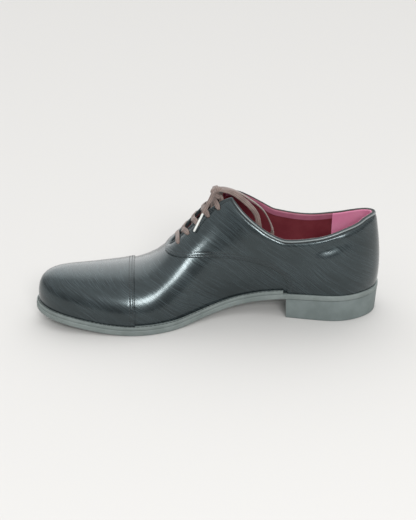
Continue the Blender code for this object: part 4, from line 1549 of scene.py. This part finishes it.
    def build_quarter(self, side: Side) -> Piece:
        """Quarter: a second layer from the back seam to the throat, with a beaded top and a rolled seam.

        Args:
            side: Its side.

        Returns:
            The piece.
        """
        back_start, clearance = 0.006, 0.35
        part = self.stations()
        part = np.maximum(part[part <= QUARTER_END + 1e-9], back_start)
        t = self.last.at(part, side)
        on_sole = part <= self.seam_foot(side)
        low = np.where(on_sole, self.last.above_sole_v(t, clearance), self.last.quarter_foot_v(t))
        tt, v, points = self.last.sheet(t, low, self.last.quarter_top_v(t), EDGE_ROWS, self.panel_rows)
        seam = distance_to(points, self.seam_line(self.quarter_seam(side)))
        top = distance_to(points, self.top_edge())
        back = np.linalg.norm(points[..., :2] - points[:1, :, :2], axis=-1)
        level = self.padded_level(points, part[:, None], top)
        level -= rounded_edge(seam, self.edge_reach, self.edge_drop)
        level -= rounded_edge(top, self.bead_place, self.bead_drop) + rounded_edge(back, *self.back_edge)
        level += swell(top, self.bead_place, self.bead_width, self.bead_height)
        level += swell(top, self.groove_place, self.groove_width, -self.groove_depth)
        level += self.row_grooves(seam)
        outer = self.last.form(tt, v, np.maximum(level, self.least_level))
        inner = self.last.form(tt, v, self.panel_gap)
        # Edge ink, and the painted highlight on the collar's bead
        marks = {INK: self.edge_ink(top), BEAD_HIGHLIGHT: self.painted_bead_highlight(top, part[:, None])}
        node = f"quarter_{side.name.lower()}"
        made = add_shell(f"{node}_panel", outer, inner, self.last, marks)
        return self.finishes.dress(made, self.finishes.calf, "upper_leather", (node,))

    def build_tongue(self) -> None:
        """Tongue under the facings: calf outside, burgundy inside, with rounded corners at its top."""
        top, foot = self.tongue_run
        wide, narrow = self.tongue_half_widths
        corner_share, corner_cut, station_length = 0.16, 0.45, 24.0
        station = np.linspace(top, foot, 70)
        share = (station - top) / (foot - top)
        corner = np.sqrt(1.0 - np.maximum(0.0, 1.0 - share / corner_share) ** 2 * corner_cut)
        half_width = (wide + (narrow - wide) * share) * corner
        lanes = np.concatenate([[-1.0, -0.985, -0.95], np.linspace(-0.9, 0.9, 44), [0.95, 0.985, 1.0]])
        t, v = self.last.across(station[:, None], -lanes[None] * half_width[:, None])
        beside = (1.0 - np.abs(lanes))[None] * half_width[:, None]
        fall = rounded_edge(np.minimum(beside, share[:, None] * (foot - top) * station_length), 0.8, 0.3)
        under = -(UPPER_WALL + self.tongue_gap)
        calf, burgundy = self.finishes.calf, self.finishes.burgundy
        for name, level, depth, finish, slot, nodes in (
            ("tongue_leather", under, 0.8, calf, "upper_leather", ("tongue",)),
            ("tongue_lining", under - 0.83, 0.7, burgundy, "lining_leather", ()),
        ):
            outer = self.last.form(t, v, level - fall)
            inner = self.last.form(t, v, level - depth + fall)
            self.finishes.dress(add_shell(name, outer, inner, self.last), finish, slot, nodes)

    def eyelets(self) -> tuple[Array, Array]:
        """Places of the lace holes and the normals there.

        Returns:
            Points and unit normals.
        """
        station = np.repeat(np.linspace(self.eyelet_first, self.eyelet_last, self.eyelet_count), 2)
        t, v = self.last.across(station, np.tile([self.eyelet_side, -self.eyelet_side], self.eyelet_count))
        return self.last.point(t, v), self.last.normal(t, v)

    def punch(self, panels: Sequence[Piece]) -> None:
        """Cuts the lace holes through the panels and keeps the cut meshes.

        Args:
            panels: The pieces to cut.
        """
        places, normals = self.eyelets()
        reach = np.linspace(-9.0, 9.0, 2)[:, None]
        width = 2.0 * self.eyelet_radius
        rows = []
        for place, normal in zip(places, normals):
            beside = np.tile(unit(np.cross(normal, (1.0, 0.0, 0.0))), (2, 1))
            rows.append(sweep(place + normal * reach, beside, width, width))
        points, faces, _ = join_sweeps(rows)
        cutter = add_piece("eyelet_punch", points, faces, self.last)
        for panel in panels:
            cut = panel.modifiers.new("lace_holes", "BOOLEAN")
            cut.operation = "DIFFERENCE"
            cut.object = cutter
            shown = panel.evaluated_get(bpy.context.evaluated_depsgraph_get())
            mesh = bpy.data.meshes.new_from_object(shown)
            panel.modifiers.clear()
            old = panel.data
            panel.data = mesh
            bpy.data.meshes.remove(old)
        bpy.data.objects.remove(cutter)

    def row_beside(
        self, seam: tuple[Array, Array], distance: float, towards: float, sink: float, top: float = FAR
    ) -> tuple[Array, Array]:
        """Stitch row that runs beside a seam, on the surface, with the normals there.

        Args:
            seam: Ring positions and v of the seam.
            distance: How far the row lies from the seam.
            towards: Which side of the seam, 1 or -1.
            sink: How deep the row lies in the face.
            top: Distance of the row from the top line.

        Returns:
            Points and normals along the row.
        """
        t, v = seam
        keep = np.unique(np.round(np.linspace(0, len(t) - 1, 160)).astype(int))
        t, v = t[keep], v[keep]
        points, normals = self.last.point(t, v), self.last.normal(t, v)
        way = unit(np.cross(np.gradient(points, axis=0), normals)) * towards
        t, v = self.last.walk(t, v, way, distance)
        v = np.minimum(v, 1.0)
        level = self.padded_level(self.last.point(t, v), self.last.station_of(t)[0], np.full(t.shape, top))
        return self.last.form(t, v, level - sink), self.last.normal(t, v)

    def build_stitches(self) -> None:
        """Thread of the upper: double rows at the seams, a row under the top line and rows on the facings."""
        groove_sink, facing_sink = self.groove_depth - 0.1, 0.06
        lines = []
        for side in Side:
            sign = float(side.value)
            seam = self.quarter_seam(side)
            lines += [self.row_beside(seam, place, sign, self.row_sink) for place in self.double_row]
            t = self.last.at(np.linspace(0.05, FACING_TOP - 0.02, 300), side)
            top = (t, self.last.top_v(t))
            lines.append(self.row_beside(top, self.groove_place, -sign, groove_sink, self.groove_place))
            station = np.linspace(FACING_TOP + 0.03, THROAT - 0.24, 160)
            t, v = self.last.across(station, sign * (self.last.half_gap(station) + self.facing_row))
            lines.append((self.last.form(t, v, self.overlay_level - facing_sink), self.last.normal(t, v)))
        seam = self.cap_seam()
        lines += [self.row_beside(seam, place, -1.0, self.row_sink) for place in self.double_row]
        made = add_stitches(
            "upper_stitches", lines, self.last, self.stitch_pitch, self.stitch_length, self.stitch_radius
        )
        self.finishes.dress(made, self.finishes.thread)

    def build(self) -> None:
        """Builds the upper from the lining out."""
        lining = self.build_lining()
        self.build_pink_linings()
        vamp = self.build_vamp()
        quarters = [self.build_quarter(side) for side in Side]
        self.punch([lining, vamp, *quarters])
        self.build_toe_cap()
        self.build_tongue()
        self.build_stitches()


@dataclass
class Bottom:
    """Outsole, heel, welt and insole."""

    last: Last
    finishes: Finishes
    channel_inset: float = 5.6
    heel_breast_medial: float = 3.93
    heel_breast_lateral: float = 3.55
    heel_hollow: float = 3.6
    heel_taper: float = 1.0
    edge_inset: float = 0.5
    nail_place: Pair = (36.0, -1.5)
    welt_medial: float = 4.04
    welt_lateral: float = 3.74

    def raised(self, plan: Array, height: Array) -> Array:
        """Plan points lifted to heights."""
        return np.concatenate([plan, height[..., None]], -1)

    def across_sole(self, stations: Array, insets: Array, lanes: int, past_margin: bool = False) -> Array:
        """Plan grid over the sole: bands that follow each edge, and lanes across between them.

        Args:
            stations: Stations along the sole.
            insets: Insets of the bands from the edge.
            lanes: Rows over the middle.
            past_margin: Whether the insets start at the feather line rather than at the sole's edge.

        Returns:
            Points of the grid in plan, from the medial edge to the lateral one.
        """
        sides = []
        for side in Side:
            t = self.last.at(stations, side)[:, None]
            start = self.last.margin(t) if past_margin else 0.0
            sides.append(self.last.outline(t, start + insets[None]))
        medial, lateral = sides
        share = np.linspace(0.0, 1.0, lanes + 2)[None, 1:-1, None]
        middle = medial[:, -1:] * (1.0 - share) + lateral[:, -1:] * share
        return np.concatenate([medial, middle, lateral[:, ::-1]], 1)

    def stations(self) -> Array:
        """Stations of the sole, crowded round its two ends."""
        return spaced((0.0, 0.3, 12), (0.3, 2.0, 34), (2.0, 11.0, 150), (11.0, 12.6, 40), (12.6, 13.0, 16))

    def build_outsole(self) -> None:
        """Outsole: a flat top, a squared edge with worn corners, and a stitch channel round its underside."""
        stations = self.stations()
        bands = np.array([0.0, 0.5, 1.2, 2.5, 4.3, 4.9, 5.3, 5.6, 5.9, 6.3, 6.9, 8.0])
        profile = ((0.4, 1.0), (0.12, 0.96), (0.0, 0.86), (0.0, 0.28), (0.12, 0.15), (0.45, 0.05), (1.0, 0.0))
        levels = []
        for inset, share in profile:
            plan = self.across_sole(stations, inset + bands, 14)
            levels.append(self.raised(plan, self.last.sole_bottom(plan[..., 0]) + OUTSOLE_THICKNESS * share))
        lanes = levels[-1].shape[1]
        gap = bands + profile[-1][0] - self.channel_inset
        half_width, medial_depth, lateral_depth = 0.45, 0.55, 0.3
        depth = np.zeros(lanes)
        depth[:len(bands)] += swell(gap, 0.0, half_width, medial_depth)
        depth[lanes - len(bands):] += swell(gap, 0.0, half_width, lateral_depth)[::-1]
        open_run = np.clip((stations - 3.6) / 0.4, 0.0, 1.0) * np.clip((12.85 - stations) / 0.15, 0.0, 1.0)
        levels[-1][..., 2] += depth[None] * open_run[:, None]
        made = add_plate("outsole_plate", levels, self.last)
        self.finishes.dress(made, self.finishes.sole, "sole_leather", ("outsole",))

    def heel_plan(self, inset: float) -> Array:
        """Plan grid of the heel block: its outline up to the breast, which is hollowed in a parabola.

        Args:
            inset: How far inside the sole's edge.

        Returns:
            Points in plan.
        """
        shares = np.concatenate(
            [np.linspace(0.0, 0.5, 60), np.linspace(0.5, 0.97, 30)[1:], [0.985, 0.995, 1.0]]
        )
        across = np.concatenate([[0.0, 0.01, 0.03], np.linspace(0.06, 0.94, 40), [0.97, 0.99, 1.0]])
        medial, lateral = (
            self.last.outline(self.last.at(shares * breast, side), inset + 0 * shares)
            for breast, side in zip((self.heel_breast_medial, self.heel_breast_lateral), Side)
        )
        plan = medial[:, None] * (1 - across[None, :, None]) + lateral[:, None] * across[None, :, None]
        plan[..., 0] -= self.heel_hollow * (1.0 - (2 * across - 1.0) ** 2)[None] * shares[:, None] ** 6
        return plan

    def build_heel(self) -> None:
        """Heel: one block that narrows a little to the floor, with soft corners and one nail in its base."""
        top_gap, nail_top = 0.05, 0.8
        rows = ((0.0, 1.0), (0.0, 0.93), (0.5, 0.5), (1.0, 0.085), (1.12, 0.035), (1.45, 0.01), (2.0, 0.0))
        levels = []
        for taper, share in rows:
            plan = self.heel_plan(self.edge_inset + self.heel_taper * taper)
            levels.append(self.raised(plan, (self.last.sole_bottom(plan[..., 0]) - top_gap) * share))
        made = add_plate("heel_block", levels, self.last)
        self.finishes.dress(made, self.finishes.heel, "heel_rubber", ("heel",))
        angle = np.linspace(0.0, 2 * math.pi, 24)
        radius = np.array([0.0, 0.6, 1.1, 1.4, 1.5])
        rise = np.array([0.02, 0.02, 0.05, 0.2, 0.6])
        ray = np.stack([np.cos(angle), np.sin(angle)], -1)
        plan = np.array(self.nail_place) + radius[None, :, None] * ray[:, None]
        disc = self.raised(plan, np.repeat(rise[None], len(angle), 0))
        inner = disc.copy()
        inner[..., 2] = nail_top
        nail = add_shell("heel_nail", disc, inner, self.last)
        self.finishes.dress(nail, self.finishes.nail)

    def welt_ring(self) -> tuple[Array, Array]:
        """Ring positions of the welt from end to end, and the inset of its inner edge, clear of the upper.

        Returns:
            Ring positions and insets.
        """
        medial = spaced((self.welt_medial, 11.0, 140), (11.0, 13.0, 60))
        lateral = spaced((13.0, 11.0, 60), (11.0, self.welt_lateral, 140))[1:]
        t = np.concatenate([medial, self.last.ring - lateral])
        edge = self.last.outline(t)
        wall = self.last.point(t, self.last.above_sole_v(t, WELT_THICKNESS + SEAM_GAP))[:, :2]
        spine = np.stack([self.last.spine_x(t), self.last.spine_y(t)], -1)
        reach = ((edge - wall) * unit(edge - spine)).sum(-1)
        clearance, least_width = 0.2, 0.9
        return t, np.maximum(reach + clearance, least_width)

    def build_welt(self) -> None:
        """Welt: a strip on the outsole's edge with soft corners and a shallow groove for its stitches."""
        t, inset = self.welt_ring()
        edge, base, least_stitched = self.edge_inset, 0.05, 1.8
        groove_share, groove_width, groove_depth = 0.62, 0.16, 0.3
        share = np.linspace(0.0, 1.0, 17)
        profile = ((0.25, 1.0), (0.06, 0.94), (0.0, 0.84), (0.0, 0.14), (0.1, 0.05), (0.3, 0.0))
        levels = []
        for soft, height in profile:
            lanes = inset[:, None] * (1 - share[None]) + (edge + soft) * share[None]
            plan = self.last.outline(t[:, None], lanes)
            rise = base + WELT_THICKNESS * height
            levels.append(self.raised(plan, self.last.sole_top(plan[..., 0]) + rise))
        levels[0][..., 2] -= swell(share, groove_share, groove_width, groove_depth)[None]
        made = add_plate("welt_strip", levels, self.last)
        self.finishes.dress(made, self.finishes.sole, "sole_leather", ("welt",))
        plan = self.last.outline(t, inset * (1.0 - groove_share) + edge * groove_share)
        height = self.last.sole_top(plan[:, 0]) + WELT_THICKNESS - 0.5 * groove_depth
        line = self.raised(plan, height)[inset > least_stitched]
        up = np.tile([0.0, 0.0, 1.0], (len(line), 1))
        stitches = add_stitches("welt_stitches", [(line, up)], self.last, 3.6, 2.9, 0.42)
        self.finishes.dress(stitches, self.finishes.sole_thread)

    def build_sole_stitches(self) -> None:
        """Long stitches that show in the channel on the underside, from the heel breast round the toe."""
        lines = []
        rise = 0.46
        for start, side in ((4.05, Side.MEDIAL), (3.75, Side.LATERAL)):
            t = self.last.at(np.linspace(start, 12.8, 500), side)
            plan = self.last.outline(t, self.channel_inset + 0 * t)
            line = self.raised(plan, self.last.sole_bottom(plan[:, 0]) + rise)
            lines.append((line, np.tile([0.0, 0.0, -1.0], (len(line), 1))))
        made = add_stitches("outsole_stitches", lines, self.last, 7.6, 4.6, 0.5)
        self.finishes.dress(made, self.finishes.sole_thread)

    def build_insole(self) -> None:
        """Insole: the board inside, covered in the lining's leather."""
        stations = spaced((0.0, 2.0, 40), (2.0, 11.0, 110), (11.0, 13.0, 40))
        bands = np.array([0.0, 0.6, 1.4, 3.0])
        base, thickness = 0.1, INSOLE_THICKNESS + 0.2
        levels = []
        for soft, height in ((0.5, 1.0), (0.15, 0.93), (0.0, 0.8), (0.0, 0.0)):
            insets = bands + UPPER_WALL + 2 * SEAM_GAP + soft
            plan = self.across_sole(stations, insets, 12, past_margin=True)
            levels.append(self.raised(plan, self.last.sole_top(plan[..., 0]) + base + thickness * height))
        made = add_plate("insole_sock", levels, self.last)
        self.finishes.dress(made, self.finishes.burgundy, "lining_leather", ("insole",))

    def build(self) -> None:
        """Builds the bottom from the floor up."""
        self.build_outsole()
        self.build_sole_stitches()
        self.build_heel()
        self.build_welt()
        self.build_insole()


@dataclass
class Lacing:
    """Flat lace: crosses through the eyelets, the knot, the loop tucked into the shoe, and one end's tip."""

    last: Last
    finishes: Finishes
    upper: Upper
    width: float = 4.6
    thickness: float = 1.2
    gathered_width: float = 3.0
    gathered_thickness: float = 1.7
    over: float = 2.15
    tip_radius: float = 0.85
    tip_length: float = 17.5
    spacing: float = 0.6

    def lay(
        self, name: str, swept: Swept, nodes: Sequence[str], finish: Material | None = None,
        slot: str = "lace_cotton",
    ) -> Piece:
        """Puts a swept mesh into the scene as a piece of the lace.

        Args:
            name: The piece's name.
            swept: Its points, faces and texture coordinates.
            nodes: The CAD nodes that it stands for.
            finish: Its finish, where that isn't the lace's cotton.
            slot: Its slot.

        Returns:
            The piece.
        """
        points, faces, uv = swept
        made = add_piece(name, points, faces, self.last, uv=uv)
        return self.finishes.dress(made, finish or self.finishes.cotton, slot, nodes)

    def strand(self, rows: Sequence[Sequence[float]], gather: Sequence[bool]) -> Swept:
        """Flat length of lace over the upper.

        Args:
            rows: Station, distance across and lift of each laid point.
            gather: Whether the lace is bunched at that point, as in a hole.

        Returns:
            The swept mesh.
        """
        table = np.array(rows, float)
        t, v = self.last.across(table[:, 0], table[:, 1])
        points = self.last.form(t, v, table[:, 2])
        bunched = np.array(gather, float)[:, None]
        both = smooth_route(np.concatenate([points, self.last.normal(t, v), bunched], 1), self.spacing)
        bunch = np.clip(both[:, 6], 0.0, 1.0)
        width = self.width + (self.gathered_width - self.width) * bunch
        depth = self.thickness + (self.gathered_thickness - self.thickness) * bunch
        return sweep(both[:, :3], both[:, 3:6], width, depth)

    def hole(self) -> list[Pair]:
        """Distances across and lifts of a lace that goes down into an eyelet."""
        side = self.upper.eyelet_side
        return [(side + 0.1, 1.2), (side + 0.3, -1.2), (side - 0.6, -3.2)]

    def bar(self, station: float) -> Swept:
        """Straight bar from eyelet to eyelet at a station.

        Args:
            station: Station of the eyelets.

        Returns:
            The swept mesh.
        """
        side, over = self.upper.eyelet_side, self.over
        rows = [(station, s, z) for s, z in self.hole()[::-1]]
        middle = ((side - 2.4, over), (4.6, over), (0.0, over - 0.1), (-4.6, over), (2.4 - side, over))
        rows += [(station, s, z) for s, z in middle]
        rows += [(station, -s, z) for s, z in self.hole()]
        return self.strand(rows, [True] * 3 + [False] * 5 + [True] * 3)

    def cross(self, lower: float, upper: float, sign: float, lift: float) -> Swept:
        """Slanted strand from under one facing, over the gap, and into the next eyelet of the other facing.

        Args:
            lower: Station of the eyelet that it comes from.
            upper: Station of the eyelet that it goes to.
            sign: Side that it goes to, 1 or -1.
            lift: Extra height over the gap's middle.

        Returns:
            The swept mesh.
        """
        side, over = self.upper.eyelet_side, self.over
        run = (
            (-8.4, -2.75), (-5.4, -2.5), (-3.2, -1.2), (0.0, 1.2 + lift), (3.4, over + 0.25), (6.0, over),
            (side - 1.6, over - 0.15),
        )
        rows = [(lower + (upper - lower) * 0.5 * (1.0 + s / side), s * sign, z) for s, z in run]
        rows += [(upper, s * sign, z) for s, z in self.hole()]
        return self.strand(rows, [False] * len(run) + [True] * 3)

    def riser(self, station: float, sign: float) -> Swept:
        """Length that rises from the topmost eyelet of one side to the knot.

        Args:
            station: Station of the eyelet.
            sign: Its side, 1 or -1.

        Returns:
            The swept mesh.
        """
        rows = [
            (station, self.upper.eyelet_side * sign, -3.0), (station - 0.02, 7.0 * sign, -3.0),
            (station - 0.05, 4.0 * sign, -1.4), (station, 2.6 * sign, 1.6), (station + 0.04, 1.4 * sign, 4.2),
        ]
        return self.strand(rows, [True, False, False, False, False])

    def build_crosses(self) -> None:
        """Bar at the lowest eyelets, a cross for each pair above, and the lengths that rise to the knot."""
        u = self.upper
        stations = np.linspace(u.eyelet_last, u.eyelet_first, u.eyelet_count)
        parts = [self.bar(stations[0])]
        for lower, upper in zip(stations[:-1], stations[1:]):
            parts += [self.cross(lower, upper, sign, lift) for sign, lift in ((1.0, 0.55), (-1.0, -0.35))]
        parts += [self.riser(stations[-1], sign) for sign in (1.0, -1.0)]
        nodes = ("lace_bar", "lace_cross_1", "lace_cross_2", "lace_cross_3", "lace_cross_4")
        self.lay("lace_crosses", join_sweeps(parts), nodes)

    def band(self, centre: Array, axis: Array, up: Array, radii: Pair, width: float) -> Swept:
        """Closed band of lace wrapped round an axis: an ellipse of two radii with the band's width.

        Args:
            centre: Middle of the band.
            axis: The axis.
            up: Direction of the second radius.
            radii: The two radii.
            width: Width along the axis.

        Returns:
            The swept mesh.
        """
        angle = np.linspace(0.0, 2 * math.pi, 40, endpoint=False)
        axis = unit(axis)
        up = unit(up - (up @ axis) * axis)
        beside = np.cross(axis, up)
        ray = np.cos(angle)[:, None] * beside * radii[0] + np.sin(angle)[:, None] * up * radii[1]
        face = np.cos(angle)[:, None] * beside / radii[0] + np.sin(angle)[:, None] * up / radii[1]
        return sweep(centre + ray, unit(face), width, self.thickness, closed=True)

    def build_knot(self) -> Piece:
        """Knot: a tight middle wrap, with the two lengths under it drawn round each other.

        Returns:
            The piece.
        """
        centre = np.array(KNOT_CENTRE)
        up = unit(np.array([0.25, 0.1, 1.0]))
        parts = [
            self.band(centre, np.array([1.0, 0.15, -0.25]), up, (4.4, 2.0), self.width),
            self.band(centre + (1.8, 1.0, -0.3), np.array([0.8, -0.6, -0.3]), up, (3.4, 1.5), 3.8),
            self.band(centre + (-1.9, -0.6, 0.0), np.array([0.8, 0.55, -0.1]), up, (3.4, 1.4), 3.8),
        ]
        return self.lay("lace_knot_wrap", join_sweeps(parts), ("lace_knot",))

    def build_loop(self) -> None:
        """Loop from the knot over the collar into the shoe and back, which turns on edge at its bend.
        """
        centre = np.array(KNOT_CENTRE)
        route = [centre + (-2.2, 1.4, 0.2), *LOOP_INSIDE, centre + (-2.2, -1.4, 0.3)]
        path = smooth_route(route, 0.8)
        tangents = unit(np.gradient(path, axis=0))
        flat = np.tile([0.12, 0.86, 0.5], (len(path), 1))
        edge = np.cross(tangents, (0.0, 1.0, 0.0))
        edge *= np.sign(edge[:, 2:] + 1e-9)
        share = np.linspace(0.0, 1.0, len(path))[:, None]
        turn = np.clip((share - 0.36) / 0.3, 0.0, 1.0)
        turn = turn * turn * (3.0 - 2.0 * turn)
        settle = np.clip(1.0 - np.minimum(share, 1.0 - share) / 0.12, 0.0, 1.0)
        normals = unit(flat * (1.0 - turn) + edge * turn)
        normals = unit(normals * (1.0 - settle) + np.array([0.1, 0.1, 1.0]) * settle)
        made = self.lay("lace_loop", sweep(path, normals, self.width, self.thickness), ("lace_loop_inside",))

    def build_end(self) -> None:
        """End of the lace on the medial side: out of the knot, down beside the throat, and into its tip."""
        start = np.array(KNOT_CENTRE) + (1.4, 1.6, -0.2)
        path = smooth_route([start, *self.last.laid(END_MEDIAL), *self.last.laid(TIP_MEDIAL)], self.spacing)
        tip_start = len(path) - int(round(self.tip_length / self.spacing))
        gather = 6
        share = np.clip((np.arange(len(path)) - (tip_start - gather)) / gather, 0.0, 1.0)
        t, v = self.last.across(np.linspace(6.2, 7.1, len(path)), np.linspace(1.0, 13.6, len(path)))
        normals = self.last.normal(t, v)
        inside = 2.0 * self.tip_radius - 0.5
        width = self.width + (inside - self.width) * share
        depth = self.thickness + (inside - self.thickness) * share
        made = self.lay("lace_end", sweep(path, normals, width, depth), ("lace_end_medial",))
        film = path[tip_start:]
        steps = np.arange(len(film))
        taper = np.clip(np.minimum(steps, steps[::-1]) / 2.0, 0.0, 1.0)
        girth = 2.0 * self.tip_radius * (0.82 + 0.18 * np.sqrt(taper))
        film[-1] += 0.3 * unit(film[-1] - film[-2])
        swept = sweep(film, normals[tip_start:], girth, girth)
        tip = self.lay("lace_tip", swept, ("lace_tip_medial",), self.finishes.tip, "lace_tip")

    def build(self) -> None:
        """Builds the lace from the lowest eyelets to the bow."""
        self.build_crosses()
        knot = self.build_knot()
        self.build_loop()
        self.build_end()


@dataclass
class Studio:
    """Pale floor, soft light and the camera at the photograph's angle."""

    floor_colour: str = "#cdccca"
    floor_size: float = 14.0
    camera_place: Triple = (0.0701, 0.9324, 0.496)
    target: Triple = (0.0, 0.004, 0.046)
    lens: float = 82.0
    overhead: Glow = ((0.0, -0.08, 1.0), -0.3, 0.85, 0.145, 1.0)
    backdrop: Glow = ((0.0, -0.86, 0.51), 0.5, 0.95, 0.0, 1.3)
    light_place: Triple = (-0.31, 2.31, 1.43)
    light_target: Triple = (0.0, 0.0, 0.04)
    light_size: Pair = (1.0, 0.55)
    light_watts: float = 36.0

    def build_floor(self) -> None:
        """Wide pale floor with a matt face."""
        half = 0.5 * self.floor_size
        mesh = bpy.data.meshes.new("floor")
        corners = [(-half, -half, 0.0), (half, -half, 0.0), (half, half, 0.0), (-half, half, 0.0)]
        mesh.from_pydata(corners, [], [(0, 1, 2, 3)])
        sockets = {"Base Color": linear(self.floor_colour), "Roughness": 0.9, "Specular IOR Level": 0.0}
        mesh.materials.append(start_material("matt_paper_floor", sockets)[0])
        floor = bpy.data.objects.new("floor", mesh)
        bpy.context.scene.collection.objects.link(floor)

    def build_world(self) -> None:
        """Pale surroundings, brightest above and behind the shoe and dim on the near side."""
        world = bpy.data.worlds.new("studio")
        bpy.context.scene.world = world
        world.use_nodes = True
        tree = world.node_tree
        way = add_node(tree, "ShaderNodeTexCoord").outputs["Generated"]
        glows = []
        for towards, start, end, low, high in (self.overhead, self.backdrop):
            slope = add_node(tree, "ShaderNodeVectorMath", {"operation": "DOT_PRODUCT"}, {0: way, 1: towards})
            rise = add_ramp(tree, slope.outputs["Value"], (start, end), (low, high), smooth=True)
            glows.append(rise)
        back = tree.nodes["Background"]
        back.inputs["Color"].default_value = (1.0, 1.0, 1.0, 1.0)
        feed(tree, back, {"Strength": add_maths(tree, "ADD", *glows)})

    def aim(self, name: str, data: bpy.types.ID, place: Triple, target: Triple) -> Piece:
        """Adds a light or camera at a place, turned to a target.

        Args:
            name: The object's name.
            data: Its light or camera.
            place: Where it stands.
            target: Where it looks.

        Returns:
            The object.
        """
        made = bpy.data.objects.new(name, data)
        made.location = place
        made.rotation_mode = "QUATERNION"
        made.rotation_quaternion = (Vector(target) - Vector(place)).to_track_quat("-Z", "Y")
        bpy.context.scene.collection.objects.link(made)
        return made

    def build_light(self) -> None:
        """Soft box on the near side, high over the camera."""
        data = bpy.data.lights.new("near_light", "AREA")
        data.shape = "RECTANGLE"
        data.size, data.size_y = self.light_size
        data.energy = self.light_watts
        self.aim("near_light", data, self.light_place, self.light_target)

    def build_camera(self) -> None:
        """Camera where the photograph was taken from, with the one shoe in its frame."""
        data = bpy.data.cameras.new("camera")
        data.sensor_fit = "VERTICAL"
        data.sensor_height = 36.0
        data.lens = self.lens
        bpy.context.scene.camera = self.aim("camera", data, self.camera_place, self.target)

    def build(self) -> None:
        """Builds floor, lights and camera."""
        bpy.context.scene.view_settings.view_transform = "Standard"
        self.build_floor()
        self.build_world()
        self.build_light()
        self.build_camera()


def main() -> None:
    """Builds the shoe and its studio."""
    logging.basicConfig(level=logging.INFO, format="%(message)s")
    for made in list(bpy.data.objects):
        bpy.data.objects.remove(made)
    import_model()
    last = Last()
    finishes = Finishes()
    Bottom(last, finishes).build()
    upper = Upper(last, finishes)
    upper.build()
    Lacing(last, finishes, upper).build()
    Studio().build()


if __name__ == "__main__":
    main()
